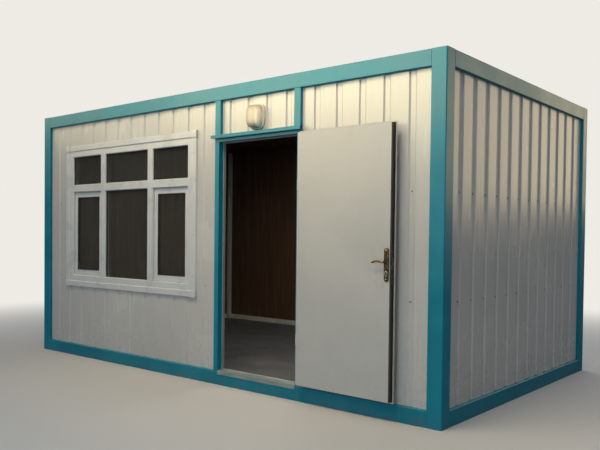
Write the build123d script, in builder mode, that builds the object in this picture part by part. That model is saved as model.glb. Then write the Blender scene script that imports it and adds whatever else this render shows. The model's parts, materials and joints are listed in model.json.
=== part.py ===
from build123d import *

import os
from math import cos, radians, sin

# Outside sizes of the cabin, in millimetres
length = 5000
width = 2950
height = 2600

# Steel frame: square corner posts and lipped channel beams
post_size = 120
post_radius = 8
post_wall = 4
beam_height = 120
beam_depth = 60
beam_lip = 18
beam_radius = 6
beam_wall = 4

# Walls, measured inwards from the outer face of the frame
cladding_recess = 30
sheet_thickness = 1
groove_depth = 10
groove_floor = 40
groove_flank = 12
rib_pitch = 212
front_first_groove = 289
side_first_groove = 283
over_door_first_groove = 114
beside_door_first_groove = 143
wall_depth = 76
corner_trim_thickness = 2
skirting_height = 60
skirting_thickness = 12

# Floor and roof
joist_width = 50
joist_wall = 4
joist_spacing = 560
deck_thickness = 25
roof_core_thickness = 92
roof_sheet_thickness = 1
roof_rib_height = 12
roof_rib_top = 30
roof_rib_flank = 12
roof_rib_pitch = 250

# Doorway, placed from the right end of the front and from the top beam
door_from_right_end = 1737.5
door_opening_width = 883
door_return_depth = 50
head_gap = 358
lock_post_face = 50
hinge_post_face = 28
head_post_face = 64
lining_width = 9
door_steel = 3
head_height = 58
cap_length = 1010
cap_reach = 33
cap_nose = 27
cap_slope = 8
cap_wall = 3
cap_above_head = 29
threshold_rise = 18
threshold_nose = 28
threshold_reach = 4
threshold_step = 6
threshold_step_depth = 58

# Door leaf: a tray that goes between the posts, and a skin that laps past it
leaf_thickness = 50
leaf_side_gap = 12
leaf_top_gap = 6
leaf_bottom_gap = 9
leaf_lip = 16
leaf_skin = 2
leaf_skin_gap = 5
leaf_open_angle = 179

# Hinges
hinge_axis_offset = 26
hinge_axis_height = 13
hinge_height = 75
hinge_radius = 8
hinge_pin_radius = 3
hinge_plate_thickness = 2.5
hinge_plate_reach = 64
hinge_plate_inset = 4
hinge_knuckle_foot = 5
hinge_barrel_gap = 0.5
hinge_above_leaf_bottom = 343
hinge_below_leaf_top = 401
running_gap = 0.1

# Lock and lever handles
handle_from_edge = 26
lever_height = 1138
plate_length = 240
plate_width = 40
plate_thickness = 8
plate_bevel = 2.5
plate_lever_offset = 20
keyhole_drop = 78
cylinder_radius = 8.5
cylinder_tail = 10
cylinder_tail_drop = 20
cylinder_reach = 4
fit_gap = 0.3
neck_radius = 11
neck_reach = 3
lever_reach = 44
lever_length = 112
lever_half_height = 9
lever_half_depth = 6
lever_bend = 15
lever_droop = 10
lever_bevel = 3.5
spindle_size = 8
lock_case_depth = 60
lock_case_height = 150
lock_case_thickness = 14
lock_plate_height = 235
lock_plate_width = 22
lock_plate_thickness = 3
latch_height = 34
latch_reach = 4
latch_thickness = 12

# Window: its casing fills the wall between these margins
casing_from_left_end = 424
casing_from_door_post = 259
casing_from_ground = 743
casing_from_top_beam = 229
window_middle_share = 0.40547
window_top_share = 0.23376
mullion = 80
window_frame_width = 63
window_frame_depth = 56
window_frame_setback = 20
window_bevel = 6
casing_width = 60
casing_proud = 18
casing_bevel = 5
sash_setback = 24
sash_width = 57
sash_depth = 32
sash_bevel = 5
glass_thickness = 20
fixed_glass_setback = 30
sash_glass_setback = 12

# Lamp over the door
lamp_below_top_beam = 180
lamp_width = 168
lamp_tall = 212
lamp_base_depth = 26
lamp_lens_depth = 62
lamp_lens_inset = 14
lamp_lens_bevel = 24
lamp_corner = 78

# Sizes that follow from the ones above
wall_bottom = beam_height
wall_top = height - beam_height
wall_height = wall_top - wall_bottom
core_face = cladding_recess + groove_depth + sheet_thickness
core_thickness = wall_depth - core_face
opening_left = length - door_from_right_end - door_opening_width / 2
opening_right = opening_left + door_opening_width
door_left = opening_left - lock_post_face
door_right = opening_right + hinge_post_face
posts_centre = (door_left + door_right) / 2
opening_top = wall_top - head_gap
head_top = opening_top + head_height
casing_right = door_left - casing_from_door_post
window_hole_left = casing_from_left_end + casing_width
window_hole_width = casing_right - casing_width - window_hole_left
window_hole_low = casing_from_ground + casing_width
window_hole_height = wall_top - casing_from_top_beam - casing_width - window_hole_low
window_centre = window_hole_left + window_hole_width / 2
window_middle = window_hole_low + window_hole_height / 2
window_left = window_hole_left + window_frame_width
window_bottom = window_hole_low + window_frame_width
window_opening_width = window_hole_width - 2 * window_frame_width
window_opening_height = window_hole_height - 2 * window_frame_width

os.makedirs("parts", exist_ok=True)


# Each wall has its own planes: along the wall from its left end as seen from
# outside, inwards from the outer face of the frame, and up from the ground
walls = {
    "front": (-length / 2, -width / 2, Vector(1, 0, 0), length),
    "right": (length / 2, -width / 2, Vector(0, 1, 0), width),
    "rear": (length / 2, width / 2, Vector(-1, 0, 0), length),
    "left": (-length / 2, width / 2, Vector(0, -1, 0), width),
}
up = Vector(0, 0, 1)


def wall_point(wall, along, depth, z):
    """A point of a wall from its own three distances."""
    x, y, run = walls[wall][:3]
    return Vector(x, y, z) + run * along + up.cross(run) * depth


def plan_plane(wall, z):
    """Sketches across the wall, seen from above: along, depth."""
    return Plane(wall_point(wall, 0, 0, z), x_dir=walls[wall][2], z_dir=up)


def face_plane(wall, depth):
    """Sketches on the wall, seen from outside: along, height."""
    run = walls[wall][2]
    return Plane(wall_point(wall, 0, depth, 0), x_dir=run, z_dir=run.cross(up))


def section_plane(wall, along, z):
    """Sketches across what runs along the wall: depth, height."""
    run = walls[wall][2]
    return Plane(wall_point(wall, along, 0, z), x_dir=up.cross(run), z_dir=run)


def box_between(low, high):
    """A rectangle between two corners, on the sketch that is open."""
    with Locations(((low[0] + high[0]) / 2, (low[1] + high[1]) / 2)):
        Rectangle(high[0] - low[0], high[1] - low[1])


# Corner posts: square tubes with a closed top, open below as a drain
for wall, name in (
    ("front", "corner_post_front_left"),
    ("right", "corner_post_front_right"),
    ("rear", "corner_post_rear_right"),
    ("left", "corner_post_rear_left"),
):
    with BuildPart() as corner_post:
        with BuildSketch(plan_plane(wall, 0)):
            with Locations((post_size / 2, post_size / 2)):
                RectangleRounded(post_size, post_size, post_radius)
        extrude(amount=height)
        with BuildSketch(plan_plane(wall, 0)):
            with Locations((post_size / 2, post_size / 2)):
                Rectangle(post_size - 2 * post_wall, post_size - 2 * post_wall)
        extrude(amount=height - post_wall, mode=Mode.SUBTRACT)
    corner_post.part.label = name
    export_step(corner_post.part, f"parts/{name}.step")

# Top and bottom beams: cold-formed channels with lips, open towards the cabin
for wall in walls:
    for level, z in (("bottom", 0), ("top", height - beam_height)):
        with BuildPart() as beam:
            with BuildSketch(section_plane(wall, post_size, z)):
                with Locations((beam_depth / 2, beam_height / 2)):
                    RectangleRounded(beam_depth, beam_height, beam_radius)
                    Rectangle(
                        beam_depth - 2 * beam_wall,
                        beam_height - 2 * beam_wall,
                        mode=Mode.SUBTRACT,
                    )
                with Locations((beam_depth, beam_height / 2)):
                    Rectangle(
                        beam_depth,
                        beam_height - 2 * beam_lip,
                        mode=Mode.SUBTRACT,
                    )
            extrude(amount=walls[wall][3] - 2 * post_size)
        beam.part.label = f"{level}_beam_{wall}"
        export_step(beam.part, f"parts/{level}_beam_{wall}.step")

# Floor joists: box tubes from the front beam to the rear beam, one in the middle
joist_height = beam_height - deck_thickness
joists_each_side = int((length / 2 - beam_depth - joist_width) / joist_spacing)
joist_count = 2 * joists_each_side + 1
with BuildPart() as floor_joists:
    with BuildSketch(Plane.XZ.offset(-(width / 2 - beam_depth))):
        with Locations((0, joist_height / 2)):
            with GridLocations(joist_spacing, joist_height, joist_count, 1):
                Rectangle(joist_width, joist_height)
                Rectangle(
                    joist_width - 2 * joist_wall,
                    joist_height - 2 * joist_wall,
                    mode=Mode.SUBTRACT,
                )
    extrude(amount=width - 2 * beam_depth)
floor_joists.part.label = "floor_joists"
export_step(floor_joists.part, "parts/floor_joists.step")

# Floor deck: one board from beam to beam, notched round the corner posts
post_notch = post_size - beam_depth
with BuildPart() as floor_deck:
    with BuildSketch(Plane.XY.offset(joist_height)):
        Rectangle(length - 2 * beam_depth, width - 2 * beam_depth)
        with GridLocations(length - 2 * beam_depth, width - 2 * beam_depth, 2, 2):
            Rectangle(2 * post_notch, 2 * post_notch, mode=Mode.SUBTRACT)
    extrude(amount=deck_thickness)
floor_deck.part.label = "floor_deck"
export_step(floor_deck.part, "parts/floor_deck.step")

# Ceiling panel: insulated slab between the top beams, lying on the walls
with BuildPart() as ceiling_panel:
    with BuildSketch(Plane.XY.offset(wall_top)):
        Rectangle(length - 2 * beam_depth, width - 2 * beam_depth)
        with GridLocations(length - 2 * beam_depth, width - 2 * beam_depth, 2, 2):
            Rectangle(2 * post_notch, 2 * post_notch, mode=Mode.SUBTRACT)
    extrude(amount=roof_core_thickness)
ceiling_panel.part.label = "ceiling_panel"
export_step(ceiling_panel.part, "parts/ceiling_panel.step")


def folded_outline(start, end, bends, thickness):
    """Closed outline of a folded sheet: its outer line, and the same line set
    back by the thickness. A bend is a distance along the sheet and a depth."""
    outer = [(start, 0)] + [bend for bend in bends if start < bend[0] < end] + [(end, 0)]
    inner = [(along, depth + thickness) for along, depth in reversed(outer)]
    return outer + inner


def groove_bends(start, end, first):
    """Four bends for each groove that lies whole between start and end."""
    half_top = groove_floor / 2 + groove_flank
    bends = []
    centre = first
    while centre + half_top < end:
        if centre - half_top > start:
            bends += [
                (centre - half_top, 0),
                (centre - groove_floor / 2, groove_depth),
                (centre + groove_floor / 2, groove_depth),
                (centre + half_top, 0),
            ]
        centre += rib_pitch
    return bends


# Roof sheet: ribs across the cabin, set down between the top beams and notched
# round the corner posts
roof_level = wall_top + roof_core_thickness + roof_sheet_thickness
roof_half = length / 2 - beam_depth
roof_bends = []
rib_count = int(2 * (roof_half - roof_rib_top) / roof_rib_pitch)
for rib in range(rib_count):
    rib_centre = (rib - (rib_count - 1) / 2) * roof_rib_pitch
    roof_bends += [
        (rib_centre - roof_rib_top / 2 - roof_rib_flank, 0),
        (rib_centre - roof_rib_top / 2, roof_rib_height),
        (rib_centre + roof_rib_top / 2, roof_rib_height),
        (rib_centre + roof_rib_top / 2 + roof_rib_flank, 0),
    ]
with BuildPart() as roof_sheet:
    with BuildSketch(Plane.XZ.offset(-(width / 2 - beam_depth))):
        with Locations((0, roof_level - roof_sheet_thickness)):
            with BuildLine(mode=Mode.PRIVATE) as roof_line:
                Polyline(
                    *folded_outline(-roof_half, roof_half, roof_bends, roof_sheet_thickness),
                    close=True,
                )
            add(make_face(roof_line.edges(), mode=Mode.PRIVATE))
    extrude(amount=width - 2 * beam_depth)
    with BuildSketch(Plane.XY.offset(roof_level - roof_sheet_thickness)):
        with GridLocations(2 * roof_half, width - 2 * beam_depth, 2, 2):
            Rectangle(2 * post_notch, 2 * post_notch)
    extrude(amount=roof_rib_height + roof_sheet_thickness, mode=Mode.SUBTRACT)
roof_sheet.part.label = "roof_sheet"
export_step(roof_sheet.part, "parts/roof_sheet.step")

# Door posts: channels with a narrower face beside the doorway than over the head
with BuildPart() as door_posts:
    for outer, turn, face in (
        (door_left, 1, lock_post_face),
        (door_right, -1, hinge_post_face),
    ):
        with BuildSketch(plan_plane("front", wall_bottom)):
            with Locations((outer + turn * face / 2, wall_depth / 2)):
                Rectangle(face, wall_depth)
            with Locations((outer + turn * face / 2, wall_depth)):
                Rectangle(
                    face - 2 * door_steel,
                    2 * (wall_depth - door_steel),
                    mode=Mode.SUBTRACT,
                )
        extrude(amount=wall_height)
        with BuildSketch(plan_plane("front", head_top)):
            with Locations((outer + turn * head_post_face / 2, wall_depth / 2)):
                Rectangle(head_post_face, wall_depth)
            with Locations((outer + turn * head_post_face / 2, wall_depth)):
                Rectangle(
                    head_post_face - 2 * door_steel,
                    2 * (wall_depth - door_steel),
                    mode=Mode.SUBTRACT,
                )
        extrude(amount=wall_top - head_top)
door_posts.part.label = "door_posts"
export_step(door_posts.part, "parts/door_posts.step")

# Head beam over the leaf, between the door posts
with BuildPart() as door_head_beam:
    with BuildSketch(section_plane("front", opening_left, opening_top)):
        with Locations((wall_depth / 2, head_height / 2)):
            Rectangle(wall_depth, head_height)
        with Locations((wall_depth, head_height / 2)):
            Rectangle(
                2 * (wall_depth - door_steel),
                head_height - 2 * door_steel,
                mode=Mode.SUBTRACT,
            )
    extrude(amount=door_opening_width)
door_head_beam.part.label = "door_head_beam"
export_step(door_head_beam.part, "parts/door_head_beam.step")

# Door jambs and frame head: a pale lining behind the steel returns, folded
# round the inner half of the wall's depth
lining_depth = wall_depth - door_return_depth
with BuildPart() as door_jambs:
    for outer, turn in ((opening_left, 1), (opening_right, -1)):
        with BuildSketch(plan_plane("front", wall_bottom)):
            lining_centre = outer + turn * lining_width / 2
            with Locations((lining_centre, door_return_depth + lining_depth / 2)):
                Rectangle(lining_width, lining_depth)
            with Locations((lining_centre - turn * door_steel, wall_depth)):
                Rectangle(
                    lining_width,
                    2 * (lining_depth - door_steel),
                    mode=Mode.SUBTRACT,
                )
        extrude(amount=opening_top - wall_bottom)
door_jambs.part.label = "door_jambs"
export_step(door_jambs.part, "parts/door_jambs.step")

clear_left = opening_left + lining_width
clear_width = door_opening_width - 2 * lining_width
with BuildPart() as door_frame_head:
    with BuildSketch(section_plane("front", clear_left, opening_top - lining_width)):
        with BuildLine():
            Polyline(
                (door_return_depth, 0),
                (wall_depth, 0),
                (wall_depth, door_steel),
                (door_return_depth + door_steel, door_steel),
                (door_return_depth + door_steel, lining_width),
                (door_return_depth, lining_width),
                close=True,
            )
        make_face()
    extrude(amount=clear_width)
door_frame_head.part.label = "door_frame_head"
export_step(door_frame_head.part, "parts/door_frame_head.step")

# Drip cap: a folded sheet that falls outwards and turns down in a nose
cap_left = posts_centre - cap_length / 2
cap_bottom = opening_top + cap_above_head
cap_top = cap_bottom + cap_nose
with BuildPart() as drip_cap:
    with BuildSketch(section_plane("front", cap_left, 0)):
        with BuildLine():
            Polyline(
                (0, cap_top + cap_slope),
                (-cap_reach, cap_top),
                (-cap_reach, cap_bottom),
                (cap_wall - cap_reach, cap_bottom),
                (cap_wall - cap_reach, cap_top - cap_wall),
                (-cap_wall, cap_top + cap_slope - 2 * cap_wall),
                (-cap_wall, cap_bottom),
                (0, cap_bottom),
                close=True,
            )
        make_face()
    extrude(amount=cap_length)
drip_cap.part.label = "drip_cap"
export_step(drip_cap.part, "parts/drip_cap.step")

# Threshold: a sill between the jambs with a stepped top and a nose that laps
# over the front of the bottom beam
with BuildPart() as threshold:
    with BuildSketch(section_plane("front", opening_left, wall_bottom)):
        with BuildLine():
            Polyline(
                (-threshold_reach, -threshold_nose),
                (0, -threshold_nose),
                (0, 0),
                (door_return_depth, 0),
                (door_return_depth, threshold_rise - threshold_step),
                (-threshold_reach, threshold_rise - 2 * threshold_step),
                close=True,
            )
        make_face()
    extrude(amount=door_opening_width)
    with BuildSketch(section_plane("front", clear_left, wall_bottom)):
        with BuildLine():
            Polyline(
                (door_return_depth, 0),
                (wall_depth, 0),
                (wall_depth, threshold_rise - threshold_step),
                (threshold_step_depth + threshold_step, threshold_rise),
                (threshold_step_depth, threshold_rise),
                (door_return_depth, threshold_rise - threshold_step),
                close=True,
            )
        make_face()
    extrude(amount=clear_width)
threshold.part.label = "threshold"
export_step(threshold.part, "parts/threshold.step")

# Wall panels: insulated cores with their inner lining
with BuildPart() as front_wall_left:
    with BuildSketch(face_plane("front", wall_depth)):
        box_between((post_size, wall_bottom), (door_left, wall_top))
        with Locations((window_centre, window_middle)):
            Rectangle(window_hole_width, window_hole_height, mode=Mode.SUBTRACT)
    extrude(amount=core_thickness)
front_wall_left.part.label = "front_wall_left"
export_step(front_wall_left.part, "parts/front_wall_left.step")

over_door_left = door_left + head_post_face
over_door_right = door_right - head_post_face
with BuildPart() as front_wall_over_door:
    with BuildSketch(face_plane("front", wall_depth)):
        box_between((over_door_left, head_top), (over_door_right, wall_top))
    extrude(amount=core_thickness)
front_wall_over_door.part.label = "front_wall_over_door"
export_step(front_wall_over_door.part, "parts/front_wall_over_door.step")

with BuildPart() as front_wall_right:
    with BuildSketch(face_plane("front", wall_depth)):
        box_between((door_right, wall_bottom), (length - post_size, wall_top))
    extrude(amount=core_thickness)
front_wall_right.part.label = "front_wall_right"
export_step(front_wall_right.part, "parts/front_wall_right.step")

for wall in ("right", "rear", "left"):
    with BuildPart() as wall_panel:
        with BuildSketch(face_plane(wall, wall_depth)):
            box_between((post_size, wall_bottom), (walls[wall][3] - post_size, wall_top))
        extrude(amount=core_thickness)
    wall_panel.part.label = f"{wall}_wall"
    export_step(wall_panel.part, f"parts/{wall}_wall.step")

# Cladding: profiled sheets with upright grooves
with BuildPart() as front_cladding:
    for start, end, bottom, first in (
        (post_size, door_left, wall_bottom, front_first_groove),
        (over_door_left, over_door_right, head_top, over_door_left + over_door_first_groove),
        (door_right, length - post_size, wall_bottom, door_right + beside_door_first_groove),
    ):
        with BuildSketch(plan_plane("front", bottom)):
            with Locations((0, cladding_recess)):
                with BuildLine(mode=Mode.PRIVATE) as sheet_line:
                    Polyline(
                        *folded_outline(
                            start, end, groove_bends(start, end, first), sheet_thickness
                        ),
                        close=True,
                    )
                add(make_face(sheet_line.edges(), mode=Mode.PRIVATE))
        extrude(amount=wall_top - bottom)
    with BuildSketch(face_plane("front", wall_depth)):
        with Locations((window_centre, window_middle)):
            Rectangle(window_hole_width, window_hole_height)
    extrude(amount=wall_depth, mode=Mode.SUBTRACT)
front_cladding.part.label = "front_cladding"
export_step(front_cladding.part, "parts/front_cladding.step")

for wall, first in (
    ("right", side_first_groove),
    ("rear", front_first_groove),
    ("left", side_first_groove),
):
    sheet_end = walls[wall][3] - post_size
    bends = groove_bends(post_size, sheet_end, first)
    with BuildPart() as cladding:
        with BuildSketch(plan_plane(wall, wall_bottom)):
            with Locations((0, cladding_recess)):
                with BuildLine(mode=Mode.PRIVATE) as sheet_line:
                    Polyline(
                        *folded_outline(post_size, sheet_end, bends, sheet_thickness),
                        close=True,
                    )
                add(make_face(sheet_line.edges(), mode=Mode.PRIVATE))
        extrude(amount=wall_height)
    cladding.part.label = f"{wall}_cladding"
    export_step(cladding.part, f"parts/{wall}_cladding.step")

# Window: casing on the cladding, fixed frame, two sashes and the glass
with BuildPart() as window_casing:
    with BuildSketch(face_plane("front", cladding_recess)):
        with Locations((window_centre, window_middle)):
            Rectangle(
                window_hole_width + 2 * casing_width,
                window_hole_height + 2 * casing_width,
            )
            Rectangle(window_hole_width, window_hole_height, mode=Mode.SUBTRACT)
    extrude(amount=casing_proud)
    casing_front = window_casing.faces().sort_by(Axis.Y)[0]
    chamfer(casing_front.edges(), casing_bevel)
window_casing.part.label = "window_casing"
export_step(window_casing.part, "parts/window_casing.step")

window_middle_width = (window_opening_width - 2 * mullion) * window_middle_share
window_side_width = (window_opening_width - 2 * mullion - window_middle_width) / 2
window_top_row = window_opening_height * window_top_share
column_centres = (
    window_left + window_side_width / 2,
    window_centre,
    window_left + window_opening_width - window_side_width / 2,
)
column_widths = (window_side_width, window_middle_width, window_side_width)
bottom_row = window_opening_height - window_top_row - mullion
top_row_centre = window_bottom + window_opening_height - window_top_row / 2
bottom_row_centre = window_bottom + bottom_row / 2
frame_back = window_frame_setback + window_frame_depth
fixed_panes = [
    (column_centres[column], top_row_centre, column_widths[column], window_top_row)
    for column in range(3)
] + [(column_centres[1], bottom_row_centre, column_widths[1], bottom_row)]
sash_places = [
    (column_centres[column], bottom_row_centre, column_widths[column], bottom_row)
    for column in (0, 2)
]
with BuildPart() as window_frame:
    with BuildSketch(face_plane("front", frame_back)):
        with Locations((window_centre, window_middle)):
            Rectangle(window_hole_width, window_hole_height)
        for x, z, pane_width, pane_height in fixed_panes + sash_places:
            with Locations((x, z)):
                Rectangle(pane_width, pane_height, mode=Mode.SUBTRACT)
    extrude(amount=window_frame_depth)
    frame_front = window_frame.faces().sort_by(Axis.Y)[0]
    openings = frame_front.inner_wires()
    chamfer([edge for wire in openings for edge in wire.edges()], window_bevel)
window_frame.part.label = "window_frame"
export_step(window_frame.part, "parts/window_frame.step")

sash_front = window_frame_setback + sash_setback
with BuildPart() as window_sashes:
    for x, z, sash_outer, sash_tall in sash_places:
        with BuildSketch(face_plane("front", sash_front + sash_depth)):
            with Locations((x, z)):
                Rectangle(sash_outer - fit_gap, sash_tall - fit_gap)
                Rectangle(
                    sash_outer - 2 * sash_width,
                    sash_tall - 2 * sash_width,
                    mode=Mode.SUBTRACT,
                )
        extrude(amount=sash_depth)
    sash_faces = window_sashes.faces().group_by(Axis.Y)[0]
    chamfer(sash_faces.edges(), sash_bevel)
window_sashes.part.label = "window_sashes"
export_step(window_sashes.part, "parts/window_sashes.step")

fixed_glass_front = window_frame_setback + fixed_glass_setback
sash_glass_front = sash_front + sash_glass_setback
with BuildPart() as window_glass:
    with BuildSketch(face_plane("front", fixed_glass_front + glass_thickness)):
        for x, z, pane_width, pane_height in fixed_panes:
            with Locations((x, z)):
                Rectangle(pane_width, pane_height)
    extrude(amount=glass_thickness)
    with BuildSketch(face_plane("front", sash_glass_front + glass_thickness)):
        for x, z, sash_outer, sash_tall in sash_places:
            with Locations((x, z)):
                Rectangle(sash_outer - 2 * sash_width, sash_tall - 2 * sash_width)
    extrude(amount=glass_thickness)
window_glass.part.label = "window_glass"
export_step(window_glass.part, "parts/window_glass.step")

# Inside trim: corner covers and skirting
post_step = post_size - wall_depth
trim_reach = post_step + corner_trim_thickness
with BuildPart() as corner_trims:
    for wall in walls:
        with BuildSketch(plan_plane(wall, wall_bottom)):
            with Locations((wall_depth + trim_reach / 2, wall_depth + trim_reach / 2)):
                Rectangle(trim_reach, trim_reach)
            with Locations((wall_depth + post_step / 2, wall_depth + post_step / 2)):
                Rectangle(post_step, post_step, mode=Mode.SUBTRACT)
        extrude(amount=wall_height)
corner_trims.part.label = "corner_trims"
export_step(corner_trims.part, "parts/corner_trims.step")

trim_end = post_size + corner_trim_thickness
skirting_runs = [
    ("front", trim_end, door_left),
    ("front", door_right, length - trim_end),
    ("right", trim_end, width - trim_end),
    ("rear", trim_end, length - trim_end),
    ("left", trim_end, width - trim_end),
]
with BuildPart() as skirting:
    for wall, start, end in skirting_runs:
        with BuildSketch(section_plane(wall, start, wall_bottom)):
            box_between((wall_depth, 0), (wall_depth + skirting_thickness, skirting_height))
        extrude(amount=end - start)
skirting.part.label = "skirting"
export_step(skirting.part, "parts/skirting.step")

# The open leaf has planes of its own: along the leaf from the hinge axis, and
# square to it, positive towards the side that faces outdoors when shut
turn = radians(leaf_open_angle)
hinge_along = opening_right + hinge_axis_offset
hinge_point = wall_point("front", hinge_along, -hinge_axis_height, 0)
leaf_run = Vector(-cos(turn), -sin(turn), 0)
leaf_out = Vector(sin(turn), -cos(turn), 0)


def leaf_plan(z):
    """Sketches across the leaf, seen from above: along, outwards."""
    return Plane(hinge_point + up * z, x_dir=leaf_run, z_dir=up)


def leaf_face(outwards):
    """Sketches on the leaf, seen from its inner side: along, height."""
    return Plane(hinge_point + leaf_out * outwards, x_dir=leaf_run, z_dir=-leaf_out)


leaf_start = hinge_axis_offset + leaf_side_gap
leaf_end = leaf_start + door_opening_width - 2 * leaf_side_gap
leaf_outer = leaf_skin_gap + leaf_skin - hinge_axis_height
leaf_inner = leaf_outer - leaf_thickness
leaf_bottom = wall_bottom + threshold_rise + leaf_bottom_gap
leaf_top = opening_top - leaf_top_gap
lever_along = leaf_end - handle_from_edge
keyhole_height = lever_height - keyhole_drop
plate_centre = lever_height - plate_lever_offset
lock_middle = (lever_height + keyhole_height) / 2
leaf_middle = (leaf_inner + leaf_outer) / 2

# Door leaf: a flat tray with an outer skin that laps past its edges, bored for
# the lock, the spindle and the cylinder
with BuildPart() as door_leaf:
    with BuildSketch(leaf_face(leaf_outer - leaf_skin)):
        box_between((leaf_start, leaf_bottom), (leaf_end, leaf_top))
    extrude(amount=leaf_thickness - leaf_skin)
    with BuildSketch(leaf_face(leaf_outer)):
        box_between(
            (leaf_start - leaf_lip, leaf_bottom - leaf_lip),
            (leaf_end + leaf_lip, leaf_top + leaf_lip),
        )
    extrude(amount=leaf_skin)
    with BuildSketch(leaf_plan(lock_middle - lock_case_height / 2 - fit_gap)):
        box_between(
            (leaf_end - lock_case_depth - fit_gap, leaf_middle - lock_case_thickness / 2 - fit_gap),
            (leaf_end, leaf_middle + lock_case_thickness / 2 + fit_gap),
        )
    extrude(amount=lock_case_height + 2 * fit_gap, mode=Mode.SUBTRACT)
    with BuildSketch(leaf_face(leaf_outer)):
        with Locations((lever_along, lever_height)):
            Circle(neck_radius)
        with Locations((lever_along, keyhole_height)):
            Circle(cylinder_radius + fit_gap)
        with Locations((lever_along, keyhole_height - cylinder_tail_drop / 2)):
            Rectangle(cylinder_tail + 2 * fit_gap, cylinder_tail_drop + 2 * fit_gap)
    extrude(amount=leaf_thickness, mode=Mode.SUBTRACT)
door_leaf.part.label = "door_leaf"
export_step(door_leaf.part, "parts/door_leaf.step")

# Lock: case in the leaf's edge with its face plate, latch and key cylinder
with BuildPart() as door_lock:
    with BuildSketch(leaf_plan(lock_middle - lock_case_height / 2)):
        box_between(
            (leaf_end - lock_case_depth, leaf_middle - lock_case_thickness / 2),
            (leaf_end, leaf_middle + lock_case_thickness / 2),
        )
    extrude(amount=lock_case_height)
    with BuildSketch(leaf_plan(lock_middle - lock_plate_height / 2)):
        box_between(
            (leaf_end, leaf_middle - lock_plate_width / 2),
            (leaf_end + lock_plate_thickness, leaf_middle + lock_plate_width / 2),
        )
    extrude(amount=lock_plate_height)
    with BuildSketch(leaf_plan(lever_height + neck_radius)):
        latch_base = leaf_end + lock_plate_thickness
        with BuildLine():
            Polyline(
                (latch_base, leaf_middle - latch_thickness / 2),
                (latch_base + latch_reach / 2, leaf_middle - latch_thickness / 2),
                (latch_base + latch_reach, leaf_middle + latch_thickness / 2),
                (latch_base, leaf_middle + latch_thickness / 2),
                close=True,
            )
        make_face()
    extrude(amount=latch_height)
    with BuildSketch(leaf_face(leaf_outer + plate_thickness + cylinder_reach)):
        with Locations((lever_along, keyhole_height)):
            Circle(cylinder_radius)
        with Locations((lever_along, keyhole_height - cylinder_tail_drop / 2)):
            Rectangle(cylinder_tail, cylinder_tail_drop)
    extrude(amount=leaf_thickness + 2 * (plate_thickness + cylinder_reach))
    with BuildSketch(leaf_face(leaf_outer)):
        with Locations((lever_along, lever_height)):
            Circle(neck_radius)
    extrude(amount=leaf_thickness, mode=Mode.SUBTRACT)
door_lock.part.label = "door_lock"
export_step(door_lock.part, "parts/door_lock.step")

# Handle plates: one on each side of the leaf, pierced for lever and cylinder
with BuildPart() as handle_plates:
    for surface in (leaf_outer + plate_thickness, leaf_inner):
        with BuildSketch(leaf_face(surface)):
            with Locations((lever_along, plate_centre)):
                SlotOverall(plate_length, plate_width, rotation=90)
            with Locations((lever_along, lever_height)):
                Circle(neck_radius + running_gap, mode=Mode.SUBTRACT)
            with Locations((lever_along, keyhole_height)):
                Circle(cylinder_radius + fit_gap, mode=Mode.SUBTRACT)
            with Locations((lever_along, keyhole_height - cylinder_tail_drop / 2)):
                Rectangle(
                    cylinder_tail + 2 * fit_gap,
                    cylinder_tail_drop + 2 * fit_gap,
                    mode=Mode.SUBTRACT,
                )
        extrude(amount=plate_thickness)
    plate_faces = handle_plates.faces().filter_by(leaf_face(0))
    for face in (plate_faces.sort_by(Axis.Y)[0], plate_faces.sort_by(Axis.Y)[-1]):
        chamfer(face.outer_wire().edges(), plate_bevel)
handle_plates.part.label = "handle_plates"
export_step(handle_plates.part, "parts/handle_plates.step")

# Lever grip in a frame of its own, along the leaf and away from it: swept from
# its neck round a bend and along an arc that droops to its tip
neck_straight = lever_reach - lever_half_depth - lever_bend
grip_axis = neck_straight + lever_bend
with BuildPart() as lever_grip:
    with BuildLine():
        Line((0, 0), (0, neck_straight))
        TangentArc((0, neck_straight), (-lever_bend, grip_axis), tangent=(0, 1))
        TangentArc(
            (-lever_bend, grip_axis, 0),
            (-lever_length, grip_axis, -lever_droop),
            tangent=(-1, 0, 0),
        )
    with BuildSketch(Plane((0, 0, 0), x_dir=(0, 0, 1), z_dir=(0, 1, 0))):
        Rectangle(2 * lever_half_height, 2 * lever_half_depth)
        chamfer(vertices(), lever_bevel)
    sweep()

# Door levers: two grips, one for each side of the leaf, on one square spindle
with BuildPart() as door_levers:
    for side, surface in ((1, leaf_outer), (-1, leaf_inner)):
        with BuildSketch(leaf_face(surface)):
            with Locations((lever_along, lever_height)):
                Circle(neck_radius)
        extrude(amount=-side * (plate_thickness + neck_reach))
        neck_foot = hinge_point + leaf_run * lever_along + leaf_out * surface + up * lever_height
        grip = lever_grip.part
        if side < 0:
            grip = mirror(grip, about=Plane.XZ, mode=Mode.PRIVATE)
        add(grip.moved(Plane(neck_foot, x_dir=leaf_run, z_dir=up).location))
    with BuildSketch(leaf_face(leaf_outer)):
        with Locations((lever_along, lever_height)):
            Rectangle(spindle_size, spindle_size)
    extrude(amount=leaf_thickness)
door_levers.part.label = "door_levers"
export_step(door_levers.part, "parts/door_levers.step")

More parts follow.
